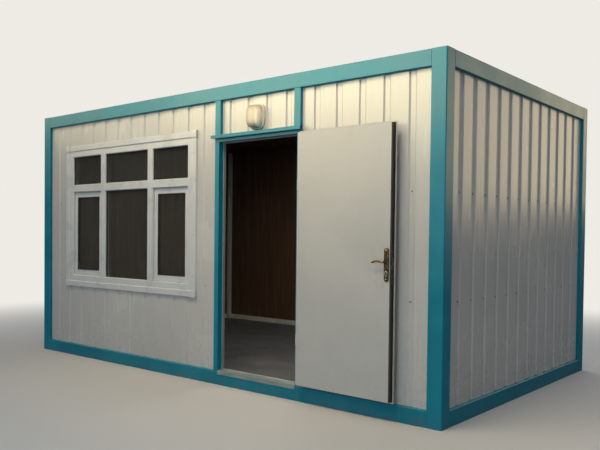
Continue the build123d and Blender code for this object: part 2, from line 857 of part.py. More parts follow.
# Hinges: a plate and two outer barrels with the pin on the door post, and a
# plate with the middle barrel on the leaf
barrel_height = hinge_height / 3
hinge_middles = (leaf_bottom + hinge_above_leaf_bottom, leaf_top - hinge_below_leaf_top)
with BuildPart() as hinges_frame_side:
    for middle in hinge_middles:
        low = middle - hinge_height / 2
        with BuildSketch(plan_plane("front", low)):
            box_between(
                (opening_right + hinge_plate_inset, -hinge_plate_thickness),
                (door_right, 0),
            )
        extrude(amount=hinge_height)
        for offset in (0, 2 * barrel_height):
            with BuildSketch(plan_plane("front", low + offset)):
                with Locations((hinge_along, -hinge_axis_height)):
                    Circle(hinge_radius)
                box_between(
                    (hinge_along - hinge_radius, -hinge_axis_height),
                    (hinge_along - hinge_radius + hinge_knuckle_foot, 0),
                )
            extrude(amount=barrel_height)
        with BuildSketch(plan_plane("front", low)):
            with Locations((hinge_along, -hinge_axis_height)):
                Circle(hinge_pin_radius)
        extrude(amount=hinge_height)
hinges_frame_side.part.label = "hinges_frame_side"
export_step(hinges_frame_side.part, "parts/hinges_frame_side.step")

with BuildPart() as hinges_leaf_side:
    for middle in hinge_middles:
        low = middle - barrel_height / 2 + hinge_barrel_gap
        with BuildSketch(leaf_plan(low)):
            Circle(hinge_radius)
            box_between((0, leaf_outer), (hinge_plate_reach, leaf_outer + hinge_plate_thickness))
            Circle(hinge_pin_radius + running_gap, mode=Mode.SUBTRACT)
        extrude(amount=barrel_height - 2 * hinge_barrel_gap)
        with BuildSketch(leaf_plan(middle - hinge_height / 2)):
            box_between(
                (leaf_start, leaf_outer),
                (hinge_plate_reach, leaf_outer + hinge_plate_thickness),
            )
        extrude(amount=hinge_height)
hinges_leaf_side.part.label = "hinges_leaf_side"
export_step(hinges_leaf_side.part, "parts/hinges_leaf_side.step")

# Lamp over the door: an oval base on the cladding and a lens
with BuildPart() as lamp_base:
    with BuildSketch(face_plane("front", cladding_recess)):
        with Locations((posts_centre, wall_top - lamp_below_top_beam)):
            RectangleRounded(lamp_width, lamp_tall, lamp_corner)
    extrude(amount=lamp_base_depth)
    base_front = lamp_base.faces().sort_by(Axis.Y)[0]
    chamfer(base_front.edges(), lamp_lens_inset / 2)
lamp_base.part.label = "lamp_base"
export_step(lamp_base.part, "parts/lamp_base.step")

with BuildPart() as lamp_lens:
    with BuildSketch(face_plane("front", cladding_recess - lamp_base_depth)):
        with Locations((posts_centre, wall_top - lamp_below_top_beam)):
            RectangleRounded(
                lamp_width - 2 * lamp_lens_inset,
                lamp_tall - 2 * lamp_lens_inset,
                lamp_corner - lamp_lens_inset,
            )
    extrude(amount=lamp_lens_depth)
    lens_front = lamp_lens.faces().sort_by(Axis.Y)[0]
    chamfer(lens_front.edges(), lamp_lens_bevel)
lamp_lens.part.label = "lamp_lens"
export_step(lamp_lens.part, "parts/lamp_lens.step")
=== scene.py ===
import json
import math

import bmesh
import bpy
import numpy as np
from mathutils import Matrix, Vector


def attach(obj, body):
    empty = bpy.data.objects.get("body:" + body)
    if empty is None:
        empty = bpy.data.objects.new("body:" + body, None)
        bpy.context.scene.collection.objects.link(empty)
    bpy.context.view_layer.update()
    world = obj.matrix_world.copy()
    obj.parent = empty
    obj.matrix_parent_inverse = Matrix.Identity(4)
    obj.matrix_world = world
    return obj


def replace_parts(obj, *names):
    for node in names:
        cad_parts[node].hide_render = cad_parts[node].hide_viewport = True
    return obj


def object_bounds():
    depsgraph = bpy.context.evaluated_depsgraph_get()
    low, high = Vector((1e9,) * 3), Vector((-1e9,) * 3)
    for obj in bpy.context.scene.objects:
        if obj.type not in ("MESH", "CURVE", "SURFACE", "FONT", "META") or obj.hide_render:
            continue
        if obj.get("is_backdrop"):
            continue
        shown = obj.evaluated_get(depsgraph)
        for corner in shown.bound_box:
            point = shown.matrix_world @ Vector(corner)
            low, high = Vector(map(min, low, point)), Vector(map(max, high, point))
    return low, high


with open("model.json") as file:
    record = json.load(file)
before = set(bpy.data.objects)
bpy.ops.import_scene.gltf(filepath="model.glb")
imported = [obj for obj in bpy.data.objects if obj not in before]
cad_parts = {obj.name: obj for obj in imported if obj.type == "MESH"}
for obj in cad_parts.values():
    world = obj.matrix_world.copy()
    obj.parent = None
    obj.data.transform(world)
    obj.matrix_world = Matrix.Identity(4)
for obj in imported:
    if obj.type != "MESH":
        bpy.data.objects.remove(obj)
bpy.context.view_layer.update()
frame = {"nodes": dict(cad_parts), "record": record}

# Sizes of the cabin in metres, as in the part's source
LENGTH, WIDTH, HEIGHT = 5.0, 2.95, 2.6
POST = 0.120
WALL_TOP = HEIGHT - POST
CLADDING = 0.030
GROOVE = 0.040
GROOVE_REACH = 0.032
RIB_PITCH = 0.212
FRONT_GROOVE, END_GROOVE, DOOR_GROOVE = 0.289, 0.283, 0.143
SCREW_ROWS = (0.858, 1.636)
OPENING_LEFT, OPENING_RIGHT = 2.821, 3.704
DOOR_LEFT, DOOR_RIGHT = OPENING_LEFT - 0.050, OPENING_RIGHT + 0.028
DOOR_X, DOOR_Y = (OPENING_LEFT + OPENING_RIGHT - LENGTH) / 2, 0.075 - WIDTH / 2
HOLE_LEFT, HOLE_RIGHT = 0.484, 2.452
HOLE_LOW, HOLE_HIGH = 0.803, 2.191
CASING = 0.060
LAMP_ALONG, LAMP_Z = (DOOR_LEFT + DOOR_RIGHT) / 2, WALL_TOP - 0.180

WALLS = {
    "front": ((-LENGTH / 2, -WIDTH / 2), (1, 0), LENGTH),
    "right": ((LENGTH / 2, -WIDTH / 2), (0, 1), WIDTH),
    "rear": ((LENGTH / 2, WIDTH / 2), (-1, 0), LENGTH),
    "left": ((-LENGTH / 2, WIDTH / 2), (0, -1), WIDTH),
}


def on_wall(wall, along, depth, z):
    """Points of a wall from distances along it, inwards from the frame's face
    and up. Any of the three may be an array."""
    (x, y), (rx, ry), _ = WALLS[wall]
    along, depth, z = np.broadcast_arrays(
        np.asarray(along, float), np.asarray(depth, float), np.asarray(z, float)
    )
    return np.stack([x + rx * along - ry * depth, y + ry * along + rx * depth, z], axis=-1)


# The open leaf: distances along it from the hinge axis, outwards and up
TURN = math.radians(179)
PIN_ALONG, PIN_OUT = 0.026, 0.013
HINGE = np.array([-LENGTH / 2 + OPENING_RIGHT + PIN_ALONG, -WIDTH / 2 - PIN_OUT])
LEAF_RUN = np.array([-math.cos(TURN), -math.sin(TURN)])
LEAF_OUT = np.array([math.sin(TURN), -math.cos(TURN)])
LEAF_START, LEAF_END = 0.038, 0.897
LEAF_OUTER, LEAF_INNER = -0.006, -0.056
LEAF_BOTTOM, LEAF_TOP = 0.147, 2.116
LEVER_ALONG, LEVER_Z, PLATE_Z, KEYHOLE_Z = 0.871, 1.138, 1.118, 1.060
HAND_Z = 1.1


def on_leaf(along, outwards, z):
    """Points of the open leaf from its own three distances, arrays or not."""
    along, outwards, z = np.broadcast_arrays(
        np.asarray(along, float), np.asarray(outwards, float), np.asarray(z, float)
    )
    flat = HINGE + along[..., None] * LEAF_RUN + outwards[..., None] * LEAF_OUT
    return np.concatenate([flat, z[..., None]], axis=-1)


class Wire:
    """One output of a finish's nodes. Sums and products of wires and numbers
    add the Math nodes that work them out."""

    def __init__(self, finish, socket):
        self.finish = finish
        self.socket = socket

    def math(self, operation, *values):
        return self.finish.node("ShaderNodeMath", {"operation": operation}, values)

    def __add__(self, other):
        return self.math("ADD", self, other)

    def __radd__(self, other):
        return self.math("ADD", other, self)

    def __sub__(self, other):
        return self.math("SUBTRACT", self, other)

    def __rsub__(self, other):
        return self.math("SUBTRACT", other, self)

    def __mul__(self, other):
        return self.math("MULTIPLY", self, other)

    def __rmul__(self, other):
        return self.math("MULTIPLY", other, self)

    def __truediv__(self, other):
        return self.math("DIVIDE", self, other)

    def modulo(self, other):
        return self.math("FLOORED_MODULO", self, other)

    def least(self, other):
        return self.math("MINIMUM", self, other)

    def floor(self):
        return self.math("FLOOR", self)

    def sine(self):
        return self.math("SINE", self)

    def size(self):
        return self.math("ABSOLUTE", self)

    def step(self, low, high):
        """0 below low, 1 above high, smooth between. low may be the higher."""
        settings = {"interpolation_type": "SMOOTHSTEP", "clamp": True}
        return self.finish.node("ShaderNodeMapRange", settings, (self, low, high, 0, 1))


class Finish:
    """A material made of nodes round one shader."""

    def __init__(self, name, **constants):
        self.material = bpy.data.materials.new(name)
        self.material.use_nodes = True
        self.tree = self.material.node_tree
        self.shader = self.tree.nodes["Principled BSDF"]
        for socket, value in constants.items():
            self.shader.inputs[socket.replace("_", " ")].default_value = value
        place = self.node("ShaderNodeTexCoord", {}, (), output="Object")
        self.place = place
        parts = self.tree.nodes.new("ShaderNodeSeparateXYZ")
        self.tree.links.new(place.socket, parts.inputs[0])
        self.x, self.y, self.z = (Wire(self, parts.outputs[i]) for i in range(3))

    def node(self, kind, settings, values, output=0):
        """Adds a node with its settings first, and then its sockets: a wire is
        linked, None leaves the socket alone, and a number or colour is set."""
        new = self.tree.nodes.new(kind)
        for name, value in settings.items():
            setattr(new, name, value)
        pairs = values.items() if isinstance(values, dict) else enumerate(values)
        for key, value in pairs:
            if isinstance(value, Wire):
                self.tree.links.new(value.socket, new.inputs[key])
            elif value is not None:
                new.inputs[key].default_value = value
        return Wire(self, new.outputs[output])

    def scaled(self, factors):
        """The place on the object, stretched along each axis."""
        settings = {"vector_type": "POINT"}
        return self.node("ShaderNodeMapping", settings, {"Vector": self.place, "Scale": factors})

    def noise(self, scale, detail=3.0, roughness=0.5, stretch=None):
        place = self.place if stretch is None else self.scaled(stretch)
        values = {"Vector": place, "Scale": scale, "Detail": detail, "Roughness": roughness}
        return self.node("ShaderNodeTexNoise", {}, values)

    def cells(self, scale, output="Distance"):
        values = {"Vector": self.place, "Scale": scale}
        return self.node("ShaderNodeTexVoronoi", {"feature": "F1"}, values, output)

    def blend(self, factor, first, second):
        """Colour first where factor is 0, second where it is 1."""
        first, second = (c if isinstance(c, Wire) else (*c, 1) for c in (first, second))
        settings = {"data_type": "RGBA", "blend_type": "MIX"}
        return self.node("ShaderNodeMix", settings, {0: factor, 6: first, 7: second}, output=2)

    def bump(self, height, strength, distance, under=None):
        values = {"Strength": strength, "Distance": distance, "Height": height, "Normal": under}
        return self.node("ShaderNodeBump", {}, values)

    def feed(self, **wires):
        """Links wires to the shader's sockets."""
        for socket, wire in wires.items():
            self.tree.links.new(wire.socket, self.shader.inputs[socket.replace("_", " ")])
        return self.material


def frame_paint():
    """Teal gloss enamel on cold-formed steel: two close shades in clouds, faint
    runs, dust that gathers low down, and thin scratches down to a paler coat."""
    f = Finish("frame_paint", Specular_IOR_Level=0.24, Coat_Roughness=0.14)
    clouds = f.noise(2.2, 4, 0.55).step(0.35, 0.65)
    runs = f.noise(9, 3, 0.6, stretch=(1, 1, 0.08)).step(0.45, 0.75)
    colour = f.blend(clouds, (0.0015, 0.195, 0.280), (0.0035, 0.228, 0.325))
    colour = f.blend(runs * 0.25, colour, (0.012, 0.245, 0.325))
    grime = f.noise(14, 5, 0.65).step(0.35, 0.75) * f.z.step(0.16, 0.0)
    colour = f.blend(grime * 0.40, colour, (0.11, 0.095, 0.075))
    scratch = f.noise(60, 2, 0.5, stretch=(1, 1, 0.05)).step(0.71, 0.74)
    rubbed = scratch * f.noise(1.6, 2).step(0.55, 0.66)
    colour = f.blend(rubbed * 0.4, colour, (0.10, 0.28, 0.34))
    roughness = 0.34 + 0.10 * clouds + 0.30 * grime
    peel = f.bump(f.noise(420, 2, 0.5), 0.06, 0.0006)
    wave = f.bump(f.noise(3.4, 2, 0.5), 0.10, 0.010, peel)
    return f.feed(
        Base_Color=colour, Roughness=roughness, Normal=wave, Coat_Weight=0.10 - 0.08 * grime
    )


def cladding_paint():
    """Off-white coated sheet: slow waves of thin metal, upright rain streaks,
    splashed soil along the bottom, and painted shade high in the end walls' grooves."""
    f = Finish("cladding_paint", Specular_IOR_Level=0.5)
    clouds = f.noise(1.3, 3, 0.5).step(0.3, 0.7)
    streaks = f.noise(16, 4, 0.6, stretch=(1, 1, 0.035)).step(0.50, 0.78)
    colour = f.blend(clouds, (0.535, 0.532, 0.508), (0.585, 0.580, 0.552))
    high = f.z.step(0.9, 2.4)
    colour = f.blend(streaks * (0.05 + 0.08 * high), colour, (0.43, 0.41, 0.37))
    splash = f.noise(22, 6, 0.7).step(0.42, 0.72) * f.z.step(0.50, 0.12)
    colour = f.blend(splash * 0.40, colour, (0.36, 0.32, 0.26))
    specks = f.cells(45).step(0.085, 0.05) * f.noise(5, 2).step(0.52, 0.62)
    colour = f.blend(specks * 0.30, colour, (0.30, 0.27, 0.23))
    along = f.y * f.x.math("SIGN", f.x) + WIDTH / 2
    off_groove = ((along - END_GROOVE + RIB_PITCH / 2).modulo(RIB_PITCH) - RIB_PITCH / 2).size()
    end_wall = f.x.size().step(LENGTH / 2 - 0.10, LENGTH / 2 - 0.09)
    past_edge = off_groove - GROOVE_REACH
    # Painted shade: the end walls' grooves are greyer and cooler up high
    groove_shade = past_edge.step(0.012, 0.004) * end_wall * f.z.step(1.1, 1.7)
    colour = f.blend(groove_shade * 0.30, colour, (0.44, 0.46, 0.48))
    roughness = 0.22 + 0.06 * clouds + 0.16 * splash + 0.05 * streaks + 0.30 * groove_shade
    grain = f.bump(f.noise(500, 2, 0.5), 0.05, 0.0005)
    wave = f.bump(f.noise(2.6, 2, 0.4, stretch=(1, 1, 0.5)), 0.16, 0.012, grain)
    return f.feed(Base_Color=colour, Roughness=roughness, Normal=wave)


def roof_paint():
    """The same coated sheet weathered by standing dust and rain."""
    f = Finish("roof_paint", Specular_IOR_Level=0.4)
    dust = f.noise(3.5, 6, 0.65).step(0.35, 0.70)
    puddles = f.noise(1.1, 3, 0.5).step(0.48, 0.60)
    colour = f.blend(dust, (0.56, 0.55, 0.52), (0.44, 0.42, 0.38))
    colour = f.blend(puddles * 0.35, colour, (0.33, 0.30, 0.26))
    grain = f.bump(f.noise(300, 2, 0.5), 0.08, 0.0008)
    wave = f.bump(f.noise(2.2, 2, 0.5), 0.15, 0.012, grain)
    return f.feed(Base_Color=colour, Roughness=0.50 + 0.20 * dust, Normal=wave)


def primed_steel():
    """Dark primer on the joists, with rust bloom."""
    f = Finish("primed_steel", Specular_IOR_Level=0.35)
    rust = f.noise(18, 6, 0.7).step(0.56, 0.70)
    colour = f.blend(f.noise(4, 3), (0.055, 0.058, 0.060), (0.085, 0.085, 0.085))
    colour = f.blend(rust * 0.7, colour, (0.22, 0.085, 0.035))
    return f.feed(
        Base_Color=colour,
        Roughness=0.55 + 0.3 * rust,
        Normal=f.bump(f.noise(160, 4, 0.6), 0.15, 0.001),
    )


def wood_lining(name, dark, light, board=0.20):
    """Printed wood panels: upright grain drawn out along the boards, with a
    narrow groove between each board and the next."""
    f = Finish(name, Specular_IOR_Level=0.4)
    across = f.x + f.y
    board_no = (across / board).floor()
    shade = f.node("ShaderNodeTexWhiteNoise", {"noise_dimensions": "1D"}, {"W": board_no})
    grain = f.noise(26, 6, 0.62, stretch=(1, 1, 0.055))
    fibre = f.noise(190, 3, 0.6, stretch=(1, 1, 0.03))
    rings = (grain * 27).sine()
    colour = f.blend(grain.step(0.30, 0.70), dark, light)
    colour = f.blend(rings.step(0.2, 1.0) * 0.30, colour, tuple(c * 0.55 for c in dark))
    colour = f.blend(fibre.step(0.45, 0.7) * 0.25, colour, tuple(c * 1.35 for c in light))
    colour = f.blend(shade * 0.28, colour, tuple(c * 0.6 for c in dark))
    edge = (across / board).modulo(1.0) - 0.5
    groove = edge.size().step(0.487, 0.496)
    colour = f.blend(groove * 0.85, colour, tuple(c * 0.2 for c in dark))
    relief = f.bump(fibre * 0.4 - groove, 0.5, 0.0015)
    return f.feed(Base_Color=colour, Roughness=0.34 + 0.16 * fibre + 0.2 * groove, Normal=relief)


def floor_vinyl():
    """Grey sheet vinyl with fine flecks and a trodden path at the door."""
    f = Finish("floor_vinyl", Specular_IOR_Level=0.5)
    fleck = f.cells(160, output="Color")
    tone = f.node("ShaderNodeSeparateColor", {}, (fleck,))
    colour = f.blend(tone, (0.072, 0.080, 0.088), (0.104, 0.114, 0.124))
    worn = f.noise(3.0, 5, 0.65).step(0.35, 0.75)
    aside, within = f.x - DOOR_X, f.y - DOOR_Y
    near_door = (aside * aside + within * within).step(1.6, 0.1)
    colour = f.blend(worn * near_door * 0.5, colour, (0.20, 0.195, 0.185))
    roughness = 0.30 + 0.20 * worn + 0.20 * near_door
    return f.feed(
        Base_Color=colour, Roughness=roughness, Normal=f.bump(f.noise(350, 2), 0.08, 0.0006)
    )


def jamb_paint():
    """Pale grey enamel on the doorway's lining, rubbed at hand height."""
    f = Finish("jamb_paint", Specular_IOR_Level=0.5)
    clouds = f.noise(5, 4, 0.6).step(0.35, 0.7)
    rubbed = f.noise(30, 4, 0.6).step(0.55, 0.7) * (f.z - HAND_Z).size().step(0.35, 0.05)
    colour = f.blend(clouds, (0.270, 0.300, 0.315), (0.320, 0.345, 0.355))
    colour = f.blend(rubbed * 0.5, colour, (0.20, 0.19, 0.17))
    return f.feed(
        Base_Color=colour,
        Roughness=0.38 + 0.12 * clouds,
        Normal=f.bump(f.noise(300, 2), 0.06, 0.0006),
    )


def sill_metal():
    """Aluminium tread of the threshold, scuffed dull along its middle."""
    f = Finish("sill_metal", Specular_IOR_Level=0.5)
    scuff = f.noise(60, 5, 0.7, stretch=(0.12, 1, 1)).step(0.40, 0.72)
    trodden = (f.x - DOOR_X).size().step(0.42, 0.10)
    colour = f.blend(scuff * (0.3 + 0.6 * trodden), (0.50, 0.61, 0.62), (0.34, 0.37, 0.36))
    return f.feed(
        Base_Color=colour,
        Metallic=0.75 - 0.45 * scuff,
        Roughness=0.33 + 0.25 * scuff,
        Normal=f.bump(scuff, 0.20, 0.0006),
    )


def window_plastic():
    """White extruded window profile: a low sheen, with soil in its corners."""
    f = Finish("window_plastic", Specular_IOR_Level=0.5)
    clouds = f.noise(3.5, 3, 0.5).step(0.3, 0.7)
    soil = f.noise(26, 5, 0.65).step(0.58, 0.80) * f.z.step(1.1, 0.75)
    colour = f.blend(clouds, (0.590, 0.612, 0.612), (0.640, 0.660, 0.658))
    colour = f.blend(soil * 0.16, colour, (0.46, 0.43, 0.38))
    return f.feed(
        Base_Color=colour,
        Roughness=0.26 + 0.06 * clouds + 0.1 * soil,
        Normal=f.bump(f.noise(260, 2), 0.04, 0.0005),
    )


def window_glass():
    """Clear double glazing with a faint layer of dust along its lower edge."""
    f = Finish("window_glass", Transmission_Weight=0.975, IOR=1.45)
    dust = f.noise(9, 5, 0.65).step(0.40, 0.75) * f.z.step(1.35, 0.85)
    colour = f.blend(dust * 0.5, (0.80, 0.82, 0.80), (0.58, 0.56, 0.50))
    wave = f.bump(f.noise(4.5, 2, 0.4), 0.05, 0.004)
    return f.feed(Base_Color=colour, Roughness=0.015 + 0.08 * dust, Normal=wave)


def trim_plastic():
    """Pale fluted trim indoors, with scuffs."""
    f = Finish("trim_plastic", Specular_IOR_Level=0.4)
    scuff = f.noise(24, 5, 0.65).step(0.5, 0.75)
    colour = f.blend(scuff, (0.56, 0.54, 0.51), (0.44, 0.42, 0.39))
    return f.feed(
        Base_Color=colour,
        Roughness=0.42 + 0.2 * scuff,
        Normal=f.bump(f.noise(200, 3), 0.08, 0.0006),
    )


def leaf_along(f):
    """Distance along the open leaf from its hinge, as a wire."""
    return (f.x - HINGE[0]) * LEAF_RUN[0] + (f.y - HINGE[1]) * LEAF_RUN[1]


def leaf_outwards(f):
    """Distance square to the open leaf, as a wire."""
    return (f.x - HINGE[0]) * LEAF_OUT[0] + (f.y - HINGE[1]) * LEAF_OUT[1]


def door_paint():
    """Off-white enamel on the leaf: soft dents, hand marks round the lever,
    kicked marks low down, and painted shade on its edges, paler near the inner face."""
    f = Finish("door_paint", Specular_IOR_Level=0.38)
    along, outwards = leaf_along(f), leaf_outwards(f)
    clouds = f.noise(2.2, 4, 0.55).step(0.3, 0.7)
    brushed = f.noise(120, 3, 0.6, stretch=(1, 1, 0.04))
    colour = f.blend(clouds, (0.475, 0.475, 0.458), (0.515, 0.512, 0.494))
    colour = f.blend(brushed.step(0.45, 0.7) * 0.10, colour, (0.42, 0.42, 0.40))
    reach = (along - LEVER_ALONG) * (along - LEVER_ALONG) + (f.z - HAND_Z) * (f.z - HAND_Z)
    hands = f.noise(18, 4, 0.6).step(0.35, 0.7) * reach.step(0.050, 0.004)
    colour = f.blend(hands * 0.35, colour, (0.36, 0.33, 0.28))
    kicks = f.noise(34, 5, 0.7, stretch=(0.25, 0.25, 1)).step(0.58, 0.72) * f.z.step(0.75, 0.18)
    colour = f.blend(kicks * 0.35, colour, (0.24, 0.22, 0.20))
    # Painted shade on the leaf's edges: near black in mottled browns, paler towards the inner face
    inside = outwards.step(LEAF_OUTER - 0.0022, LEAF_OUTER - 0.0030)
    near_end = along.step(LEAF_END - 0.0006, LEAF_END - 0.0002)
    near_start = along.step(LEAF_START + 0.0006, LEAF_START + 0.0002)
    top = f.z.step(LEAF_TOP - 0.0006, LEAF_TOP - 0.0002)
    edge = (near_end + near_start + top).least(1.0)
    edge_shade_mottle = f.noise(12, 4, 0.6, stretch=(1, 1, 0.2))
    painted_edge_shade = f.blend(edge_shade_mottle, (0.026, 0.022, 0.019), (0.075, 0.055, 0.040))
    towards_face = outwards.step(LEAF_INNER + 0.024, LEAF_INNER + 0.004)
    painted_edge_shade = f.blend(towards_face * 0.8, painted_edge_shade, (0.26, 0.235, 0.205))
    painted_edge_shade = f.blend(towards_face, painted_edge_shade, (0.150, 0.135, 0.112))
    colour = f.blend(edge * inside, colour, painted_edge_shade)
    dents = f.bump(f.noise(6, 2, 0.4), 0.06, 0.006)
    return f.feed(
        Base_Color=colour,
        Roughness=0.40 + 0.10 * clouds + 0.15 * hands + 0.2 * edge,
        Normal=f.bump(f.noise(330, 2), 0.07, 0.0006, dents),
    )


def worn_metal(name, dark, bright, rough=0.32, scale=140, metal=0.92):
    """Metal with a darker patina in clouds and a brighter rubbed grain."""
    f = Finish(name, Specular_IOR_Level=0.5)
    patina = f.noise(scale * 0.3, 4, 0.6).step(0.38, 0.66)
    rubbed = f.noise(scale * 2.5, 3, 0.6, stretch=(1, 1, 0.15)).step(0.50, 0.75)
    colour = f.blend(patina, dark, bright)
    colour = f.blend(rubbed * 0.3, colour, tuple(min(1, c * 1.5) for c in bright))
    return f.feed(
        Base_Color=colour,
        Metallic=metal - 0.12 * patina,
        Roughness=rough + 0.14 * patina + 0.10 * rubbed,
        Normal=f.bump(rubbed * 0.5 + patina, 0.10, 0.0003),
    )


def lamp_plastic():
    """Sun-yellowed cream moulding."""
    f = Finish("lamp_plastic", Specular_IOR_Level=0.45)
    age = f.noise(16, 4, 0.6).step(0.35, 0.7)
    colour = f.blend(age, (0.78, 0.71, 0.55), (0.68, 0.60, 0.45))
    return f.feed(
        Base_Color=colour,
        Roughness=0.38 + 0.15 * age,
        Normal=f.bump(f.noise(260, 2), 0.06, 0.0005),
    )


def lamp_glass():
    """Frosted pressed glass with a warm reflector behind it, browner low down.
    Painted light: a painted highlight in the middle, along its ribs and on
    its side towards the hinges, and painted shade towards its top and left edges."""
    f = Finish(
        "lamp_glass", Specular_IOR_Level=0.40, Coat_Roughness=0.15, Subsurface_Weight=0.9,
        Subsurface_Radius=(1.0, 0.86, 0.66), Subsurface_Scale=0.06,
    )
    mottle = f.noise(34, 3, 0.5).step(0.35, 0.65)
    half_across, half_up, rib_waves = 0.070, 0.092, 23.1
    across = (f.x - LAMP_ALONG + LENGTH / 2) / half_across
    up = (f.z - LAMP_Z) / half_up
    # Painted highlights in the middle, along the ribs and on the side towards the hinges; painted shade
    # towards the top and the left; browner low down
    middle = (across * across + up * up).step(0.75, 0.05)
    colour = f.blend(mottle, (0.51, 0.455, 0.345), (0.42, 0.375, 0.285))
    colour = f.blend(middle * 0.85, colour, (0.70, 0.64, 0.53))
    rib_highlights = (across * rib_waves).sine().step(-0.2, 0.9)
    colour = f.blend(rib_highlights * 0.35, colour, (0.84, 0.78, 0.66))
    colour = f.blend(up.step(-0.15, -0.75) * 0.35, colour, (0.34, 0.27, 0.17))
    colour = f.blend(up.step(0.45, 0.95) * 0.45, colour, (0.36, 0.31, 0.23))
    colour = f.blend(across.step(-0.20, -0.80) * 0.60, colour, (0.33, 0.285, 0.205))
    side_highlight = across.step(0.40, 0.80) * up.step(0.95, 0.35)
    colour = f.blend(side_highlight * 0.85, colour, (0.93, 0.85, 0.70))
    return f.feed(
        Base_Color=colour,
        Roughness=0.30 + 0.12 * mottle,
        Coat_Weight=0.12 + 0.12 * mottle,
        Normal=f.bump(f.noise(180, 2), 0.10, 0.0006),
    )


def seal_rubber():
    """Black glazing and door seals, greyed by dust."""
    f = Finish("seal_rubber", Specular_IOR_Level=0.35)
    dust = f.noise(30, 5, 0.65).step(0.45, 0.75)
    colour = f.blend(dust, (0.018, 0.018, 0.019), (0.075, 0.070, 0.062))
    return f.feed(
        Base_Color=colour,
        Roughness=0.55 + 0.25 * dust,
        Normal=f.bump(f.noise(300, 2), 0.15, 0.0005),
    )


FINISHES = {
    "frame_paint": frame_paint(),
    "cladding_paint": cladding_paint(),
    "roof_paint": roof_paint(),
    "primed_steel": primed_steel(),
    "wood_lining": wood_lining("wood_lining", (0.062, 0.032, 0.020), (0.135, 0.076, 0.048)),
    "ceiling_lining": wood_lining("ceiling_lining", (0.070, 0.045, 0.032), (0.125, 0.085, 0.060)),
    "floor_vinyl": floor_vinyl(),
    "jamb_paint": jamb_paint(),
    "sill_metal": sill_metal(),
    "window_plastic": window_plastic(),
    "window_glass": window_glass(),
    "trim_plastic": trim_plastic(),
    "door_paint": door_paint(),
    "lock_steel": worn_metal("lock_steel", (0.060, 0.052, 0.045), (0.20, 0.18, 0.16)),
    "handle_bronze": worn_metal("handle_bronze", (0.110, 0.074, 0.042), (0.34, 0.255, 0.160)),
    "plate_bronze": worn_metal("plate_bronze", (0.050, 0.033, 0.020), (0.135, 0.095, 0.060)),
    "bright_steel": worn_metal("bright_steel", (0.52, 0.50, 0.46), (0.74, 0.72, 0.68), rough=0.28),
    "hinge_zinc": worn_metal("hinge_zinc", (0.60, 0.62, 0.63), (0.76, 0.78, 0.78), 0.36, metal=0.30),
    "screw_zinc": worn_metal("screw_zinc", (0.24, 0.24, 0.235), (0.44, 0.44, 0.43), rough=0.42),
    "lamp_plastic": lamp_plastic(),
    "lamp_glass": lamp_glass(),
    "seal_rubber": seal_rubber(),
}

# Every CAD node wears the finish of its own material slot, but for two
OTHER_FINISH = {"roof_sheet": "roof_paint", "ceiling_panel": "ceiling_lining"}
for subpart in frame["record"]["subparts"]:
    node = frame["nodes"][subpart["node"]]
    finish = FINISHES[OTHER_FINISH.get(subpart["node"], subpart["material_slot"])]
    for material_slot in node.material_slots:
        material_slot.material = finish


def piece(name, points, faces, finish, body, smooth=True):
    """A mesh object at the origin from an array of points and a list or array
    of faces, which wears a finish and rides on a body."""
    mesh = bpy.data.meshes.new(name)
    faces = faces.tolist() if isinstance(faces, np.ndarray) else faces
    mesh.from_pydata(np.asarray(points, float).reshape(-1, 3).tolist(), [], faces)
    mesh.validate()
    mesh.polygons.foreach_set("use_smooth", np.full(len(mesh.polygons), smooth))
    mesh.materials.append(FINISHES[finish])
    new = bpy.data.objects.new(name, mesh)
    bpy.context.scene.collection.objects.link(new)
    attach(new, body)
    return new


def grid_faces(rows, columns, round_rows=False, round_columns=False):
    """The four-sided faces of a grid of points, numbered row by row. A round
    direction joins its last line of points to its first."""
    r = np.arange(rows if round_rows else rows - 1)[:, None]
    c = np.arange(columns if round_columns else columns - 1)[None, :]
    below, right = (r + 1) % rows, (c + 1) % columns
    corners = (r * columns + c, r * columns + right, below * columns + right, below * columns + c)
    return np.stack([corner + 0 * r + 0 * c for corner in corners], axis=-1).reshape(-1, 4)


def turned_outwards(obj):
    """Recalculates the normals of a closed mesh so that they point outwards."""
    work = bmesh.new()
    work.from_mesh(obj.data)
    bmesh.ops.remove_doubles(work, verts=work.verts, dist=1e-6)
    bmesh.ops.recalc_face_normals(work, faces=work.faces)
    work.to_mesh(obj.data)
    work.free()
    return obj


# Cladding screws: a hexagon head with its washer, one in each groove of a row
def screw_points(sides=12):
    """Rings of a profile turned about the axis. The radius of a ring of the
    head is a hexagon's: the flat distance over the cosine of the angle from the
    middle of a flat. The last ring shrinks to the centre."""
    angle = np.arange(sides) * 2 * np.pi / sides
    hexagon = math.cos(np.pi / 6) / np.cos(angle % (np.pi / 3) - np.pi / 6)
    rings = (
        (0.0075, 0.0, 0),
        (0.0075, 0.0012, 0),
        (0.0060, 0.0018, 0),
        (0.0050, 0.0018, 1),
        (0.0050, 0.0062, 1),
        (0.0040, 0.0070, 1),
        (0.0001, 0.0071, 0),
    )
    radius = np.array([r * np.where(h, hexagon, 1.0) for r, _, h in rings])
    height = np.array([h for _, h, _ in rings])[:, None] + 0 * radius
    return np.stack([radius * np.cos(angle), radius * np.sin(angle), height], axis=-1)


def groove_places(first, start, end):
    """Distances of the grooves that lie whole between start and end. Thirty are
    more than the longest wall holds."""
    places = first + RIB_PITCH * np.arange(30)
    return places[(places - GROOVE_REACH > start) & (places + GROOVE_REACH < end)]


